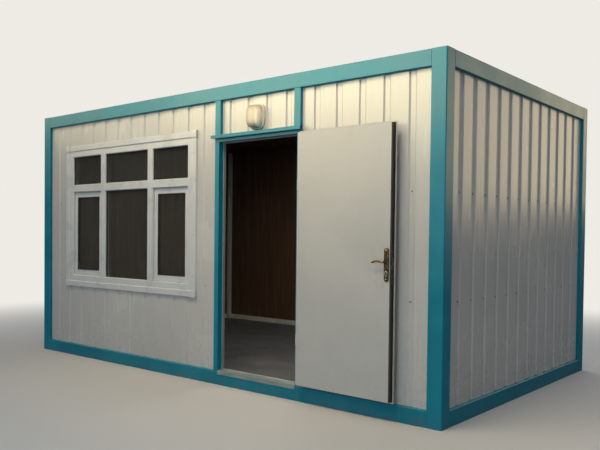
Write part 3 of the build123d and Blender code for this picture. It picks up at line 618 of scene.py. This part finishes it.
def wall_screws(name, wall, alongs, heights, depth):
    """Copies of one screw at each pair of distance and height on a wall."""
    unit = screw_points()
    rows, columns = unit.shape[:2]
    unit = unit.reshape(-1, 3)
    places = np.array([(a, z) for z in heights for a in alongs])
    points = on_wall(
        wall,
        places[:, None, 0] + unit[None, :, 0],
        depth - unit[None, :, 2],
        places[:, None, 1] + unit[None, :, 1],
    )
    faces = grid_faces(rows, columns, round_columns=True)
    steps = np.arange(len(places))[:, None, None] * len(unit)
    faces = (faces[None] + steps).reshape(-1, 4)
    return piece(name, points, faces, "screw_zinc", "cabin", smooth=False)


front_grooves = np.concatenate([
    groove_places(FRONT_GROOVE, POST, DOOR_LEFT),
    groove_places(DOOR_RIGHT + DOOR_GROOVE, DOOR_RIGHT, LENGTH - POST),
])
left_of_window = front_grooves < HOLE_LEFT - CASING
right_of_window = front_grooves > HOLE_RIGHT + CASING
clear_of_window = front_grooves[left_of_window | right_of_window]
wall_screws("front_screws", "front", clear_of_window, SCREW_ROWS, GROOVE)
for wall, first in (("right", END_GROOVE), ("rear", FRONT_GROOVE), ("left", END_GROOVE)):
    places = groove_places(first, POST, WALLS[wall][2] - POST)
    wall_screws(f"{wall}_screws", wall, places, SCREW_ROWS, GROOVE)


def ring_round(place, centre, size, depth, profile, name, finish, body):
    """A strip carried round a rectangle: its profile gives distance outwards
    from the rectangle's edge and height above it, and each corner is mitred
    because both neighbours share its row of points. place puts a distance along,
    a depth and a height in space."""
    x, z = centre
    half_x, half_z = size[0] / 2, size[1] / 2
    corner = np.array([(-1, -1), (1, -1), (1, 1), (-1, 1)])
    out, rise = np.array(profile).T
    along = x + corner[:, :1] * (half_x + out[None, :])
    up = z + corner[:, 1:] * (half_z + out[None, :])
    points = place(along, depth - rise[None, :] + 0 * along, up)
    faces = grid_faces(4, len(profile), round_rows=True, round_columns=True)
    return turned_outwards(piece(name, points, faces, finish, body, smooth=False))


def on_front(along, depth, z):
    return on_wall("front", along, depth, z)


# Window: the panes' places follow the frame's own sizes
FRAME_WIDTH, MULLION, SASH_WIDTH = 0.063, 0.080, 0.057
MIDDLE_SHARE, TOP_SHARE = 0.40547, 0.23376
PANE_DEPTH, SASH_PANE_DEPTH = 0.050, 0.056
OPEN_LEFT, OPEN_LOW = HOLE_LEFT + FRAME_WIDTH, HOLE_LOW + FRAME_WIDTH
OPEN_WIDTH = HOLE_RIGHT - HOLE_LEFT - 2 * FRAME_WIDTH
OPEN_HEIGHT = HOLE_HIGH - HOLE_LOW - 2 * FRAME_WIDTH
MIDDLE_WIDTH = (OPEN_WIDTH - 2 * MULLION) * MIDDLE_SHARE
SIDE_WIDTH = (OPEN_WIDTH - 2 * MULLION - MIDDLE_WIDTH) / 2
TOP_ROW = OPEN_HEIGHT * TOP_SHARE
LOW_ROW = OPEN_HEIGHT - TOP_ROW - MULLION
COLUMNS = (
    (OPEN_LEFT + SIDE_WIDTH / 2, SIDE_WIDTH),
    (OPEN_LEFT + OPEN_WIDTH / 2, MIDDLE_WIDTH),
    (OPEN_LEFT + OPEN_WIDTH - SIDE_WIDTH / 2, SIDE_WIDTH),
)
TOP_MIDDLE = OPEN_LOW + OPEN_HEIGHT - TOP_ROW / 2
LOW_MIDDLE = OPEN_LOW + LOW_ROW / 2

# A pane's seal: a soft foot on the glass and a thin lip up the reveal
seal_profile = (
    (0.0, 0.0), (-0.004, 0.0), (-0.0045, 0.002), (-0.003, 0.0035),
    (-0.0016, 0.0050), (-0.0013, 0.0130), (0.0, 0.0136),
)
panes = [((x, TOP_MIDDLE), (w, TOP_ROW), PANE_DEPTH) for x, w in COLUMNS]
panes.append(((COLUMNS[1][0], LOW_MIDDLE), (COLUMNS[1][1], LOW_ROW), PANE_DEPTH))
for x, w in (COLUMNS[0], COLUMNS[2]):
    size = (w - 2 * SASH_WIDTH, LOW_ROW - 2 * SASH_WIDTH)
    panes.append(((x, LOW_MIDDLE), size, SASH_PANE_DEPTH))
for number, (centre, size, depth) in enumerate(panes):
    ring_round(
        on_front, centre, size, depth, seal_profile,
        f"pane_seal_{number}", "seal_rubber", "cabin",
    )


def solid_of_rings(name, points, finish, body, smooth=True):
    """A closed piece from rings of points, one row a ring. The first and last
    rings are closed by shrinking them to their own middle."""
    ends = [np.repeat(points[i].mean(axis=0)[None], points.shape[1], axis=0) for i in (0, -1)]
    points = np.concatenate([ends[0][None], points, ends[1][None]])
    faces = grid_faces(points.shape[0], points.shape[1], round_columns=True)
    return turned_outwards(piece(name, points, faces, finish, body, smooth))


def joined(pieces, name):
    """One object out of several pieces that wear the same finish."""
    first = pieces[0]
    with bpy.context.temp_override(active_object=first, selected_editable_objects=pieces):
        bpy.ops.object.join()
    first.name = first.data.name = name
    return first


def superellipse(angle, power):
    """A unit curve between a circle (power 2) and a square (high power)."""
    x, y = np.cos(angle), np.sin(angle)
    bent = 2.0 / power
    return np.sign(x) * np.abs(x) ** bent, np.sign(y) * np.abs(y) ** bent


# Lever grips: a section carried along the neck, round a bend and along the grip
def lever_rings(columns=32):
    """Rings of one lever, in distances towards the hinge, away from the leaf and
    up. The middle line runs out, turns through a quarter circle and goes along
    the leaf. Over the grip, with s from 0 to 1, its height is 0.010 times
    sin(pi s) to the power 1.3, less 0.008 s squared, and it leans towards the
    leaf by 0.002 s squared. The section swells a little and then tapers to a
    tip whose size falls off as a quarter circle does."""
    neck = np.linspace(0.0, 1.0, 10)
    bend = np.linspace(0.0, np.pi / 2, 14)[1:]
    grip = np.linspace(0.0, 1.0, 46)[1:]
    reach, turn_radius, run = 0.038, 0.015, 0.092
    start = reach - turn_radius
    x = np.concatenate([0 * neck, turn_radius * (1 - np.cos(bend)), turn_radius + run * grip])
    y = np.concatenate([neck * start, start + turn_radius * np.sin(bend), reach + 0 * grip])
    sway = 0.010 * np.sin(np.pi * grip) ** 1.3 - 0.008 * grip**2
    z = np.concatenate([0 * neck, 0 * bend, sway])
    y[-len(grip):] -= 0.002 * grip**2
    middle = np.stack([x, y, z], axis=1)
    along = np.gradient(middle, axis=0)
    along /= np.linalg.norm(along, axis=1)[:, None]
    rise = np.array([0, 0, 1.0]) - along[:, 2:] * along
    rise /= np.linalg.norm(rise, axis=1)[:, None]
    side = np.cross(along, rise)
    tall = np.concatenate([
        0.0076 + 0 * neck,
        0.0076 + 0.0010 * np.sin(bend),
        0.0086 + 0.0012 * np.sin(np.pi * grip) - 0.0034 * grip**1.5,
    ])
    deep = np.concatenate([
        0.0076 + 0 * neck,
        0.0076 - 0.0018 * np.sin(bend),
        0.0058 - 0.0013 * grip,
    ])
    past_end = ((grip - 0.93) / 0.071).clip(0)
    tip = np.concatenate([1 + 0 * neck, 1 + 0 * bend, np.sqrt(np.clip(1 - past_end**2, 0, 1))])
    power = np.concatenate([2 + 0 * neck, 2 + 0.8 * np.sin(bend), 2.8 + 0 * grip])[:, None]
    angle = np.arange(columns) * 2 * np.pi / columns
    across, upward = superellipse(angle[None, :], power)
    across = across * (deep * tip)[:, None]
    upward = upward * (tall * tip)[:, None]
    return middle[:, None] + across[..., None] * side[:, None] + upward[..., None] * rise[:, None]


def on_side(outer):
    """Places (towards the hinge, away from the leaf, up from the spindle) on the
    outer or the inner side of the leaf."""
    surface, way = (LEAF_OUTER, 1) if outer else (LEAF_INNER, -1)

    def place(towards, away, up):
        return on_leaf(LEVER_ALONG - towards, surface + way * away, up)

    return place


def turned(place, profile, centre, name, finish, body, columns=32):
    """A profile of (radius, height) turned about an axis square to a surface."""
    angle = np.arange(columns) * 2 * np.pi / columns
    radius, rise = np.array(profile).T[:, :, None]
    across, up = centre[0] + radius * np.cos(angle), centre[1] + radius * np.sin(angle)
    return solid_of_rings(name, place(across, rise + 0 * angle, up), finish, body)


# Handle plates: a long round-ended outline that steps and domes inwards
PLATE_HALF, PLATE_STRAIGHT, PLATE_SCREW = 0.020, 0.100, 0.102
grips, plates, screws = [], [], []
stadium = np.linspace(0, 2 * np.pi, 65)[:-1] + np.pi / 64
plate_rings = (
    (0.0, 0.0), (0.0, 0.0042), (0.0006, 0.0056), (0.0018, 0.0066), (0.0034, 0.0071),
    (0.0056, 0.0080), (0.0100, 0.0090), (0.0150, 0.0095), (0.0199, 0.0096),
)
collar = (
    (0.0112, 0.0005), (0.0112, 0.0104), (0.0106, 0.0112),
    (0.0092, 0.0114), (0.0086, 0.0130), (0.0078, 0.0140),
)
plate_screw = (
    (0.0046, 0.0070), (0.0046, 0.0098), (0.0040, 0.0106), (0.0016, 0.0108), (0.0014, 0.0098),
)
for outer in (True, False):
    place = on_side(outer)
    side = "outer" if outer else "inner"
    towards, away, up = np.moveaxis(lever_rings(), -1, 0)
    grips.append(solid_of_rings(
        f"lever_{side}", place(towards, away, LEVER_Z + up),
        "handle_bronze", "levers",
    ))
    grips.append(turned(
        place, collar, (0, LEVER_Z), f"collar_{side}", "handle_bronze", "levers",
    ))
    inset, rise = np.array(plate_rings).T[:, :, None]
    towards = (PLATE_HALF - inset) * np.cos(stadium)
    up = np.sign(np.sin(stadium)) * PLATE_STRAIGHT + (PLATE_HALF - inset) * np.sin(stadium)
    plates.append(solid_of_rings(
        f"plate_{side}", place(towards, rise + 0 * stadium, PLATE_Z + up),
        "plate_bronze", "door",
    ))
    for height in (-PLATE_SCREW, PLATE_SCREW):
        screws.append(turned(
            place, plate_screw, (0, PLATE_Z + height), f"plate_screw_{side}_{height > 0}",
            "bright_steel", "door", 20,
        ))
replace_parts(joined(grips, "lever_grips"), "door_levers")
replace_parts(joined(plates, "crowned_plates"), "handle_plates")
joined(screws, "plate_screws")


# Keyhole bezels round the cylinder
def bezel_rings(radius=0.0112, tail=0.0125, bead=0.0016, columns=48, rows=10):
    """Rings of a closed bead: towards the hinge, away from the leaf, and up from
    the keyhole. Its middle line is a circle whose lower half is drawn down by
    the tail and narrowed by up to three tenths."""
    turn = np.linspace(0, 2 * np.pi, columns + 1)[:-1]
    down = np.where(np.sin(turn) < 0, tail * np.sin(turn), 0)
    outline = np.stack([radius * np.cos(turn), radius * np.sin(turn) + down], -1)
    narrow = np.clip(-outline[:, 1] / 0.012, 0, 1)[:, None]
    outline = outline * np.concatenate([1 - 0.30 * narrow, 1 + 0 * narrow], axis=1)
    round_bead = np.linspace(0, 2 * np.pi, rows + 1)[:-1]
    swell = 1 + bead * np.cos(round_bead)[:, None, None] / radius
    spots = outline[None] * swell
    away = (0.0098 + 0.0012 * np.sin(round_bead))[:, None] + 0 * turn
    return spots[..., 0], away, spots[..., 1]


for outer in (True, False):
    towards, away, up = bezel_rings()
    points = on_side(outer)(towards, away, KEYHOLE_Z + up)
    faces = grid_faces(*up.shape, round_rows=True, round_columns=True)
    name = f"keyhole_bezel_{'outer' if outer else 'inner'}"
    turned_outwards(piece(name, points, faces, "bright_steel", "door"))


# Lamp: a round-cornered base with a rolled rim, and a ribbed dome
RIM_HALF, DOME_HALF, LAMP_POWER = (0.084, 0.106), (0.0760, 0.0975), 3.3
DOME_FOOT, DOME_RISE = 0.022, 0.065
RIB_WIDTH, RIB_DEPTH = 0.019, 0.0013
RIM_SCREW_ALONG, RIM_SCREW_UP = 0.048, 0.083


def lamp_rings(profile, half_x, half_z, power, columns=96):
    """Rings that are superellipses scaled by each share of the profile, at its
    distance from the sheet's outer face."""
    share, rise = np.array(profile).T[:, :, None]
    x, z = superellipse(np.arange(columns) * 2 * np.pi / columns, power)
    return LAMP_ALONG + half_x * share * x, CLADDING - rise + 0 * x, LAMP_Z + half_z * share * z


base_profile = (
    (0.97, 0.0), (1.0, 0.003), (1.0, 0.017), (0.992, 0.022), (0.975, 0.0255), (0.95, 0.027),
    (0.92, 0.0265), (0.90, 0.024), (0.885, 0.020),
)
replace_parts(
    solid_of_rings(
        "lamp_rim", on_front(*lamp_rings(base_profile, *RIM_HALF, LAMP_POWER)),
        "lamp_plastic", "cabin",
    ),
    "lamp_base",
)
# The dome rises by the root of one less the share to the power 8. Upright ribs
# ripple it as a cosine and fade out towards the rim.
share = np.sin(np.linspace(np.pi / 2, 0, 36))[:-1]
dome_profile = np.stack([share, DOME_FOOT + DOME_RISE * (1 - share**8.0) ** 0.50], -1)
along, depth, up = lamp_rings(dome_profile, *DOME_HALF, LAMP_POWER, 160)
fade = np.clip((1 - share) * 6, 0, 1)[:, None]
rib = np.cos((along - LAMP_ALONG) * 2 * np.pi / RIB_WIDTH) * fade
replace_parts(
    solid_of_rings(
        "lamp_dome", on_front(along, depth - RIB_DEPTH * rib, up),
        "lamp_glass", "cabin",
    ),
    "lamp_lens",
)
rim_screw = ((0.0050, 0.024), (0.0050, 0.028), (0.0040, 0.0292), (0.0014, 0.0294), (0.0012, 0.0284))


def on_lamp(along, rise, z):
    return on_wall("front", along, CLADDING - rise, z)


for number, (across, over) in enumerate(((-1, 1), (1, 1), (-1, -1), (1, -1))):
    turned(
        on_lamp, rim_screw,
        (LAMP_ALONG + across * RIM_SCREW_ALONG, LAMP_Z + over * RIM_SCREW_UP),
        f"lamp_screw_{number}", "screw_zinc", "cabin", 16,
    )


# Casing: a square joint plate on each corner, and screws between them
def soft_tile(centre, half, low, high, name, finish, edge=0.0016):
    """A square plate on the front with rounded-over edges: each ring is the
    square's outline, closer in and higher as it goes over the edge."""
    turn = np.linspace(0, np.pi / 2, 5)
    inset = np.concatenate([[0.0], edge * (1 - np.cos(turn)), [half - 0.001]])
    rise = np.concatenate([[low], high - edge + edge * np.sin(turn), [high]])
    side = np.linspace(-1, 1, 9)[:-1]
    square = np.concatenate([
        np.stack([side, -1 + 0 * side], -1), np.stack([1 + 0 * side, side], -1),
        np.stack([-side, 1 + 0 * side], -1), np.stack([-1 + 0 * side, -side], -1),
    ])
    size = (half - inset)[:, None]
    along, up = centre[0] + size * square[:, 0], centre[1] + size * square[:, 1]
    points = on_front(along, CLADDING - rise[:, None] + 0 * square[:, 0], up)
    return solid_of_rings(name, points, finish, "cabin")


TILE_HALF, TILE_LOW, TILE_HIGH = 0.0335, 0.004, 0.0225
casing_sides = (HOLE_LEFT - CASING / 2, HOLE_RIGHT + CASING / 2)
casing_rails = (HOLE_LOW - CASING / 2, HOLE_HIGH + CASING / 2)
casing_corners = [(x, z) for x in casing_sides for z in casing_rails]
for number, corner in enumerate(casing_corners):
    soft_tile(
        corner, TILE_HALF, TILE_LOW, TILE_HIGH,
        f"casing_corner_{number}", "window_plastic",
    )

# The casing's screws: the outer ones stand this far from the hole's corners
END_SCREW = 0.14
casing_screw = (
    (0.0045, 0.017), (0.0045, 0.0188), (0.0036, 0.0196), (0.0013, 0.0198), (0.0011, 0.0190),
)
rail_screws = np.linspace(HOLE_LEFT + END_SCREW, HOLE_RIGHT - END_SCREW, 5)
side_screws = np.linspace(HOLE_LOW + END_SCREW, HOLE_HIGH - END_SCREW, 4)
casing_places = [(x, z) for x in rail_screws for z in casing_rails]
casing_places += [(x, z) for z in side_screws for x in casing_sides]
joined([
    turned(on_lamp, casing_screw, spot, f"casing_screw_{number}", "screw_zinc", "cabin", 16)
    for number, spot in enumerate(casing_places)
], "casing_screws")


# Hinge screws on the plates of the door post
def on_post(along, rise, z):
    return on_wall("front", along, -rise, z)


hinge_screw = (
    (0.0048, 0.0015), (0.0048, 0.0030), (0.0040, 0.0036), (0.0016, 0.0037), (0.0013, 0.0030),
)
HINGE_FROM_BOTTOM, HINGE_FROM_TOP = 0.343, 0.401
hinge_middles = (LEAF_BOTTOM + HINGE_FROM_BOTTOM, LEAF_TOP - HINGE_FROM_TOP)
HINGE_SCREW_ALONG, HINGE_SCREW_UP = OPENING_RIGHT + 0.0115, 0.028
joined([
    turned(
        on_post, hinge_screw, (HINGE_SCREW_ALONG, middle + dz),
        f"hinge_screw_{middle}_{dz}", "screw_zinc", "cabin", 16,
    )
    for middle in hinge_middles for dz in (-HINGE_SCREW_UP, 0.0, HINGE_SCREW_UP)
], "hinge_screws")

# Hinge knuckles: round-ended barrels outside the CAD ones, with the leaf's own
# barrel between the two of the post
KNUCKLE, KNUCKLE_EDGE = 0.0102, 0.0030
BARREL, HINGE_HALF = 0.025, 0.0375
BARREL_GAP, CAP = 0.0003, 0.004


def knuckle(low, high, name, body, columns=28):
    """A profile turned about the upright hinge axis. Its radius stays the same
    but for quarter rounds at both ends, where it is that radius less the edge
    times one minus the cosine."""
    turn = np.linspace(np.pi / 2, 0, 6)
    inset = KNUCKLE_EDGE * (1 - np.cos(turn))
    radius = KNUCKLE - np.concatenate([inset, inset[::-1]])[:, None]
    z = np.concatenate([
        low + KNUCKLE_EDGE * (1 - np.sin(turn)), high - KNUCKLE_EDGE * (1 - np.sin(turn[::-1])),
    ])[:, None]
    angle = np.arange(columns) * 2 * np.pi / columns
    x, y = HINGE[0] + radius * np.cos(angle), HINGE[1] + radius * np.sin(angle)
    points = np.stack([x, y, z + 0 * x], axis=-1)
    return solid_of_rings(name, points, "hinge_zinc", body)


near, end = BARREL / 2 + BARREL_GAP, HINGE_HALF + CAP
joined([
    knuckle(middle + low, middle + high, f"knuckle_{middle}_{low}", "cabin")
    for middle in hinge_middles for low, high in ((-end, -near), (near, end))
], "hinge_knuckles_frame")
half = BARREL / 2 - BARREL_GAP
joined([
    knuckle(middle - half, middle + half, f"knuckle_{middle}", "door") for middle in hinge_middles
], "hinge_knuckles_leaf")


# Weld beads in the valleys where the beams meet the corner posts
VALLEY, BEAD_ROWS = POST - 0.0015, 93


def bead_points(wall, along, low, high):
    """A half round strip that runs upwards. Its radius ripples with height as
    the size of a sine, as one pool of weld metal lies over the next, and a slow
    sine makes it a little uneven."""
    z = np.linspace(low, high, BEAD_ROWS)[:, None]
    pools = 0.00035 * np.abs(np.sin(np.pi * z / 0.0056))
    ripple = 0.0034 + pools + 0.0003 * np.sin(z * 91 + along * 13)
    turn = np.linspace(-0.5 * np.pi, 0.5 * np.pi, 9)[None, :]
    across = ripple * np.sin(turn)
    rise = ripple * np.cos(turn) * 0.9
    return on_wall(wall, along + across, 0.0048 - rise, z + 0 * turn)


for wall, (_, _, span) in WALLS.items():
    beads = []
    for along in (VALLEY, span - VALLEY):
        for low, high in ((0.004, POST - 0.004), (WALL_TOP + 0.004, HEIGHT - 0.004)):
            points = bead_points(wall, along, low, high)
            name = f"bead_{wall}_{along}_{low}"
            beads.append(solid_of_rings(name, points, "frame_paint", "cabin"))
    joined(beads, f"weld_beads_{wall}")


# Door seal: a soft lip round the tray, behind the skin that laps past it
def behind_skin(along, depth, z):
    return on_leaf(along, LEAF_OUTER - 0.002 + depth, z)


seal_rows = (
    (0.0005, 0.0), (0.0005, 0.0030), (0.0018, 0.0044),
    (0.0036, 0.0040), (0.0050, 0.0022), (0.0052, 0.0),
)
ring_round(
    behind_skin, ((LEAF_START + LEAF_END) / 2, (LEAF_BOTTOM + LEAF_TOP) / 2),
    (LEAF_END - LEAF_START, LEAF_TOP - LEAF_BOTTOM), 0.0, seal_rows,
    "door_seal", "seal_rubber", "door",
)

# Floor, backdrop, lights and camera. What gloss mirrors of them is kept dim, so
# that the paint and the panes keep their own colours.
BACKDROP, BACKDROP_LEVEL = (0.93, 0.905, 0.85), 0.92
MIRRORED, MIRRORED_LEVEL = (0.97, 0.98, 1.0), 0.04
EVEN_LIGHT, EVEN_LEVEL = (0.80, 0.87, 0.97), 0.36
PAPER = (0.62, 0.61, 0.59)
FADE_START, FADE_END = 8.5, 64.0


def studio_finish(name, colour):
    """Plain matt paper, faintly mottled, that runs out into the backdrop's own
    colour away from the object, by the distance squared. The camera sees its
    whole colour, and it lights the object with half of it."""
    f = Finish(name, Specular_IOR_Level=0.2)
    tone = f.noise(1.5, 3)
    seen = f.node("ShaderNodeLightPath", {}, (), output="Is Camera Ray")
    gloss = f.node("ShaderNodeLightPath", {}, (), output="Is Glossy Ray")
    shade = f.blend(tone, tuple(c * 0.985 for c in colour), colour)
    shade = f.blend(seen, tuple(c * 0.5 for c in colour), shade)
    paper = f.feed(Base_Color=shade, Roughness=0.80 + 0.1 * tone)
    far = (f.x * f.x + f.y * f.y).step(FADE_START, FADE_END)
    glow, mirrored = (
        f.node("ShaderNodeEmission", {}, {"Color": (*tint, 1), "Strength": level})
        for tint, level in ((BACKDROP, BACKDROP_LEVEL), (MIRRORED, MIRRORED_LEVEL))
    )
    surface = Wire(f, f.shader.outputs[0])
    near = f.node("ShaderNodeMixShader", {}, {0: far * seen, 1: surface, 2: glow})
    both = f.node("ShaderNodeMixShader", {}, {0: gloss, 1: near, 2: mirrored})
    output = next(n for n in f.tree.nodes if n.type == "OUTPUT_MATERIAL")
    f.tree.links.new(both.socket, output.inputs["Surface"])
    return paper


def studio_floor(half=40.0):
    """One large square at ground level."""
    mesh = bpy.data.meshes.new("studio_floor")
    corners = [(-half, -half, 0), (half, -half, 0), (half, half, 0), (-half, half, 0)]
    mesh.from_pydata(corners, [], [(0, 1, 2, 3)])
    mesh.materials.append(studio_finish("studio_floor", PAPER))
    floor = bpy.data.objects.new("studio_floor", mesh)
    bpy.context.scene.collection.objects.link(floor)
    floor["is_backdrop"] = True


def studio_world():
    """Even light from all round, a plain pale backdrop where the camera sees past
    the floor, and a dim one for gloss."""
    world = bpy.data.worlds.new("studio")
    bpy.context.scene.world = world
    world.use_nodes = True
    tree = world.node_tree
    tree.nodes.clear()
    out = tree.nodes.new("ShaderNodeOutputWorld")
    mix = tree.nodes.new("ShaderNodeMixShader")
    path = tree.nodes.new("ShaderNodeLightPath")
    shiny = tree.nodes.new("ShaderNodeMixShader")
    light, gloss, seen = (tree.nodes.new("ShaderNodeBackground") for _ in range(3))
    for background, colour, level in (
        (light, EVEN_LIGHT, EVEN_LEVEL),
        (gloss, MIRRORED, MIRRORED_LEVEL),
        (seen, BACKDROP, BACKDROP_LEVEL),
    ):
        background.inputs[0].default_value = (*colour, 1)
        background.inputs[1].default_value = level
    tree.links.new(path.outputs["Is Glossy Ray"], shiny.inputs[0])
    tree.links.new(light.outputs[0], shiny.inputs[1])
    tree.links.new(gloss.outputs[0], shiny.inputs[2])
    tree.links.new(path.outputs["Is Camera Ray"], mix.inputs[0])
    tree.links.new(shiny.outputs[0], mix.inputs[1])
    tree.links.new(seen.outputs[0], mix.inputs[2])
    tree.links.new(mix.outputs[0], out.inputs[0])


def soft_light(name, place, aim, size, power, colour, spread=180, gloss=True, matt=True):
    """An area light of a width and a height that faces a point. gloss and matt
    say which kinds of surface it lights."""
    lamp = bpy.data.lights.new(name, "AREA")
    lamp.shape = "RECTANGLE"
    (lamp.size, lamp.size_y), lamp.energy, lamp.color = size, power, colour
    obj = bpy.data.objects.new(name, lamp)
    obj.visible_camera = False
    obj.visible_glossy, obj.visible_diffuse = gloss, matt
    lamp.spread = math.radians(spread)
    bpy.context.scene.collection.objects.link(obj)
    way = np.array(aim, float) - np.array(place, float)
    way /= np.linalg.norm(way)
    side = np.cross(way, (0, 0, 1.0))
    side /= np.linalg.norm(side)
    up = np.cross(side, way)
    turn = Matrix(np.stack([side, up, -way], axis=1).tolist())
    obj.matrix_world = Matrix.Translation(place) @ turn.to_4x4()


# The photo's pinhole fit: degrees, metres, and pixels of a 600 by 450 picture
YAW, PITCH, ROLL = -39.835, -1.405, 0.634
CAMERA_PLACE = (4.741, -5.742, 1.3205)
FOCAL_PIXELS, MIDDLE_PIXEL, PICTURE = 699.5, (293.9, 252.1), (600, 450)


def photo_camera():
    """A camera where the photo's pinhole fit puts it, with the principal point a
    little off the middle."""
    yaw, pitch, roll = (math.radians(a) for a in (YAW, PITCH, ROLL))
    forward = np.array([
        math.sin(yaw) * math.cos(pitch), math.cos(yaw) * math.cos(pitch), math.sin(pitch)
    ])
    level = np.array([math.cos(yaw), -math.sin(yaw), 0.0])
    rise = np.cross(level, forward)
    right = math.cos(roll) * level + math.sin(roll) * rise
    top = math.cos(roll) * rise - math.sin(roll) * level
    data = bpy.data.cameras.new("photo_camera")
    data.sensor_width = 36.0
    data.lens = data.sensor_width * FOCAL_PIXELS / PICTURE[0]
    data.shift_x = (PICTURE[0] / 2 - MIDDLE_PIXEL[0]) / PICTURE[0]
    data.shift_y = (MIDDLE_PIXEL[1] - PICTURE[1] / 2) / PICTURE[0]
    data.clip_end = 200
    camera = bpy.data.objects.new("photo_camera", data)
    turn = Matrix(np.stack([right, top, -forward], axis=1).tolist())
    camera.matrix_world = Matrix.Translation(CAMERA_PLACE) @ turn.to_4x4()
    bpy.context.scene.collection.objects.link(camera)
    bpy.context.scene.camera = camera


studio_floor()
studio_world()
# Low warm sun along the top of the front, from two strips
SUN = (1.0, 0.80, 0.53)
soft_light("key", (-0.3, -3.1, 4.2), (0.0, -1.4, 2.5), (5.2, 0.8), 31, SUN, 110, gloss=False)
soft_light("key_right", (1.8, -3.1, 4.2), (1.8, -1.4, 2.5), (3.4, 0.8), 27, SUN, 120, gloss=False)
# Fill from the front, from the left, from above and inside the room
soft_light("front", (3.3, -8.5, 2.4), (2.2, -1.4, 1.2), (2.4, 2.4), 86, (0.66, 0.86, 1.0))
soft_light("left", (-3.5, -9.5, 3.6), (-0.5, -1.4, 1.2), (4.0, 4.0), 35, (0.86, 0.92, 1.0), gloss=False)
soft_light("top", (0.0, 3.0, 9.0), (0, 0, 1.0), (6.0, 6.0), 222, (1.0, 0.97, 0.90))
soft_light("room", (0.2, -0.2, 2.30), (0.4, 0.3, 0.3), (0.8, 0.8), 15, (1.0, 0.95, 0.90))
# Bright sky that only gloss mirrors
soft_light("sky_front", (-4.7, -6.8, 4.8), (0.4, -1.4, 4.8), (12.0, 3.2), 400, (1.0, 0.92, 0.52), matt=False)
soft_light("sky_right", (-1.9, -6.8, 4.8), (1.4, -1.4, 4.8), (6.4, 3.2), 430, (1.0, 0.91, 0.50), matt=False)
soft_light("sky_side", (5.8, 7.8, 3.8), (2.5, 0.0, 3.8), (8.0, 3.8), 225, (1.0, 0.82, 0.50), matt=False)
photo_camera()
bpy.context.scene.view_settings.view_transform = "Standard"

low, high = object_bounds()
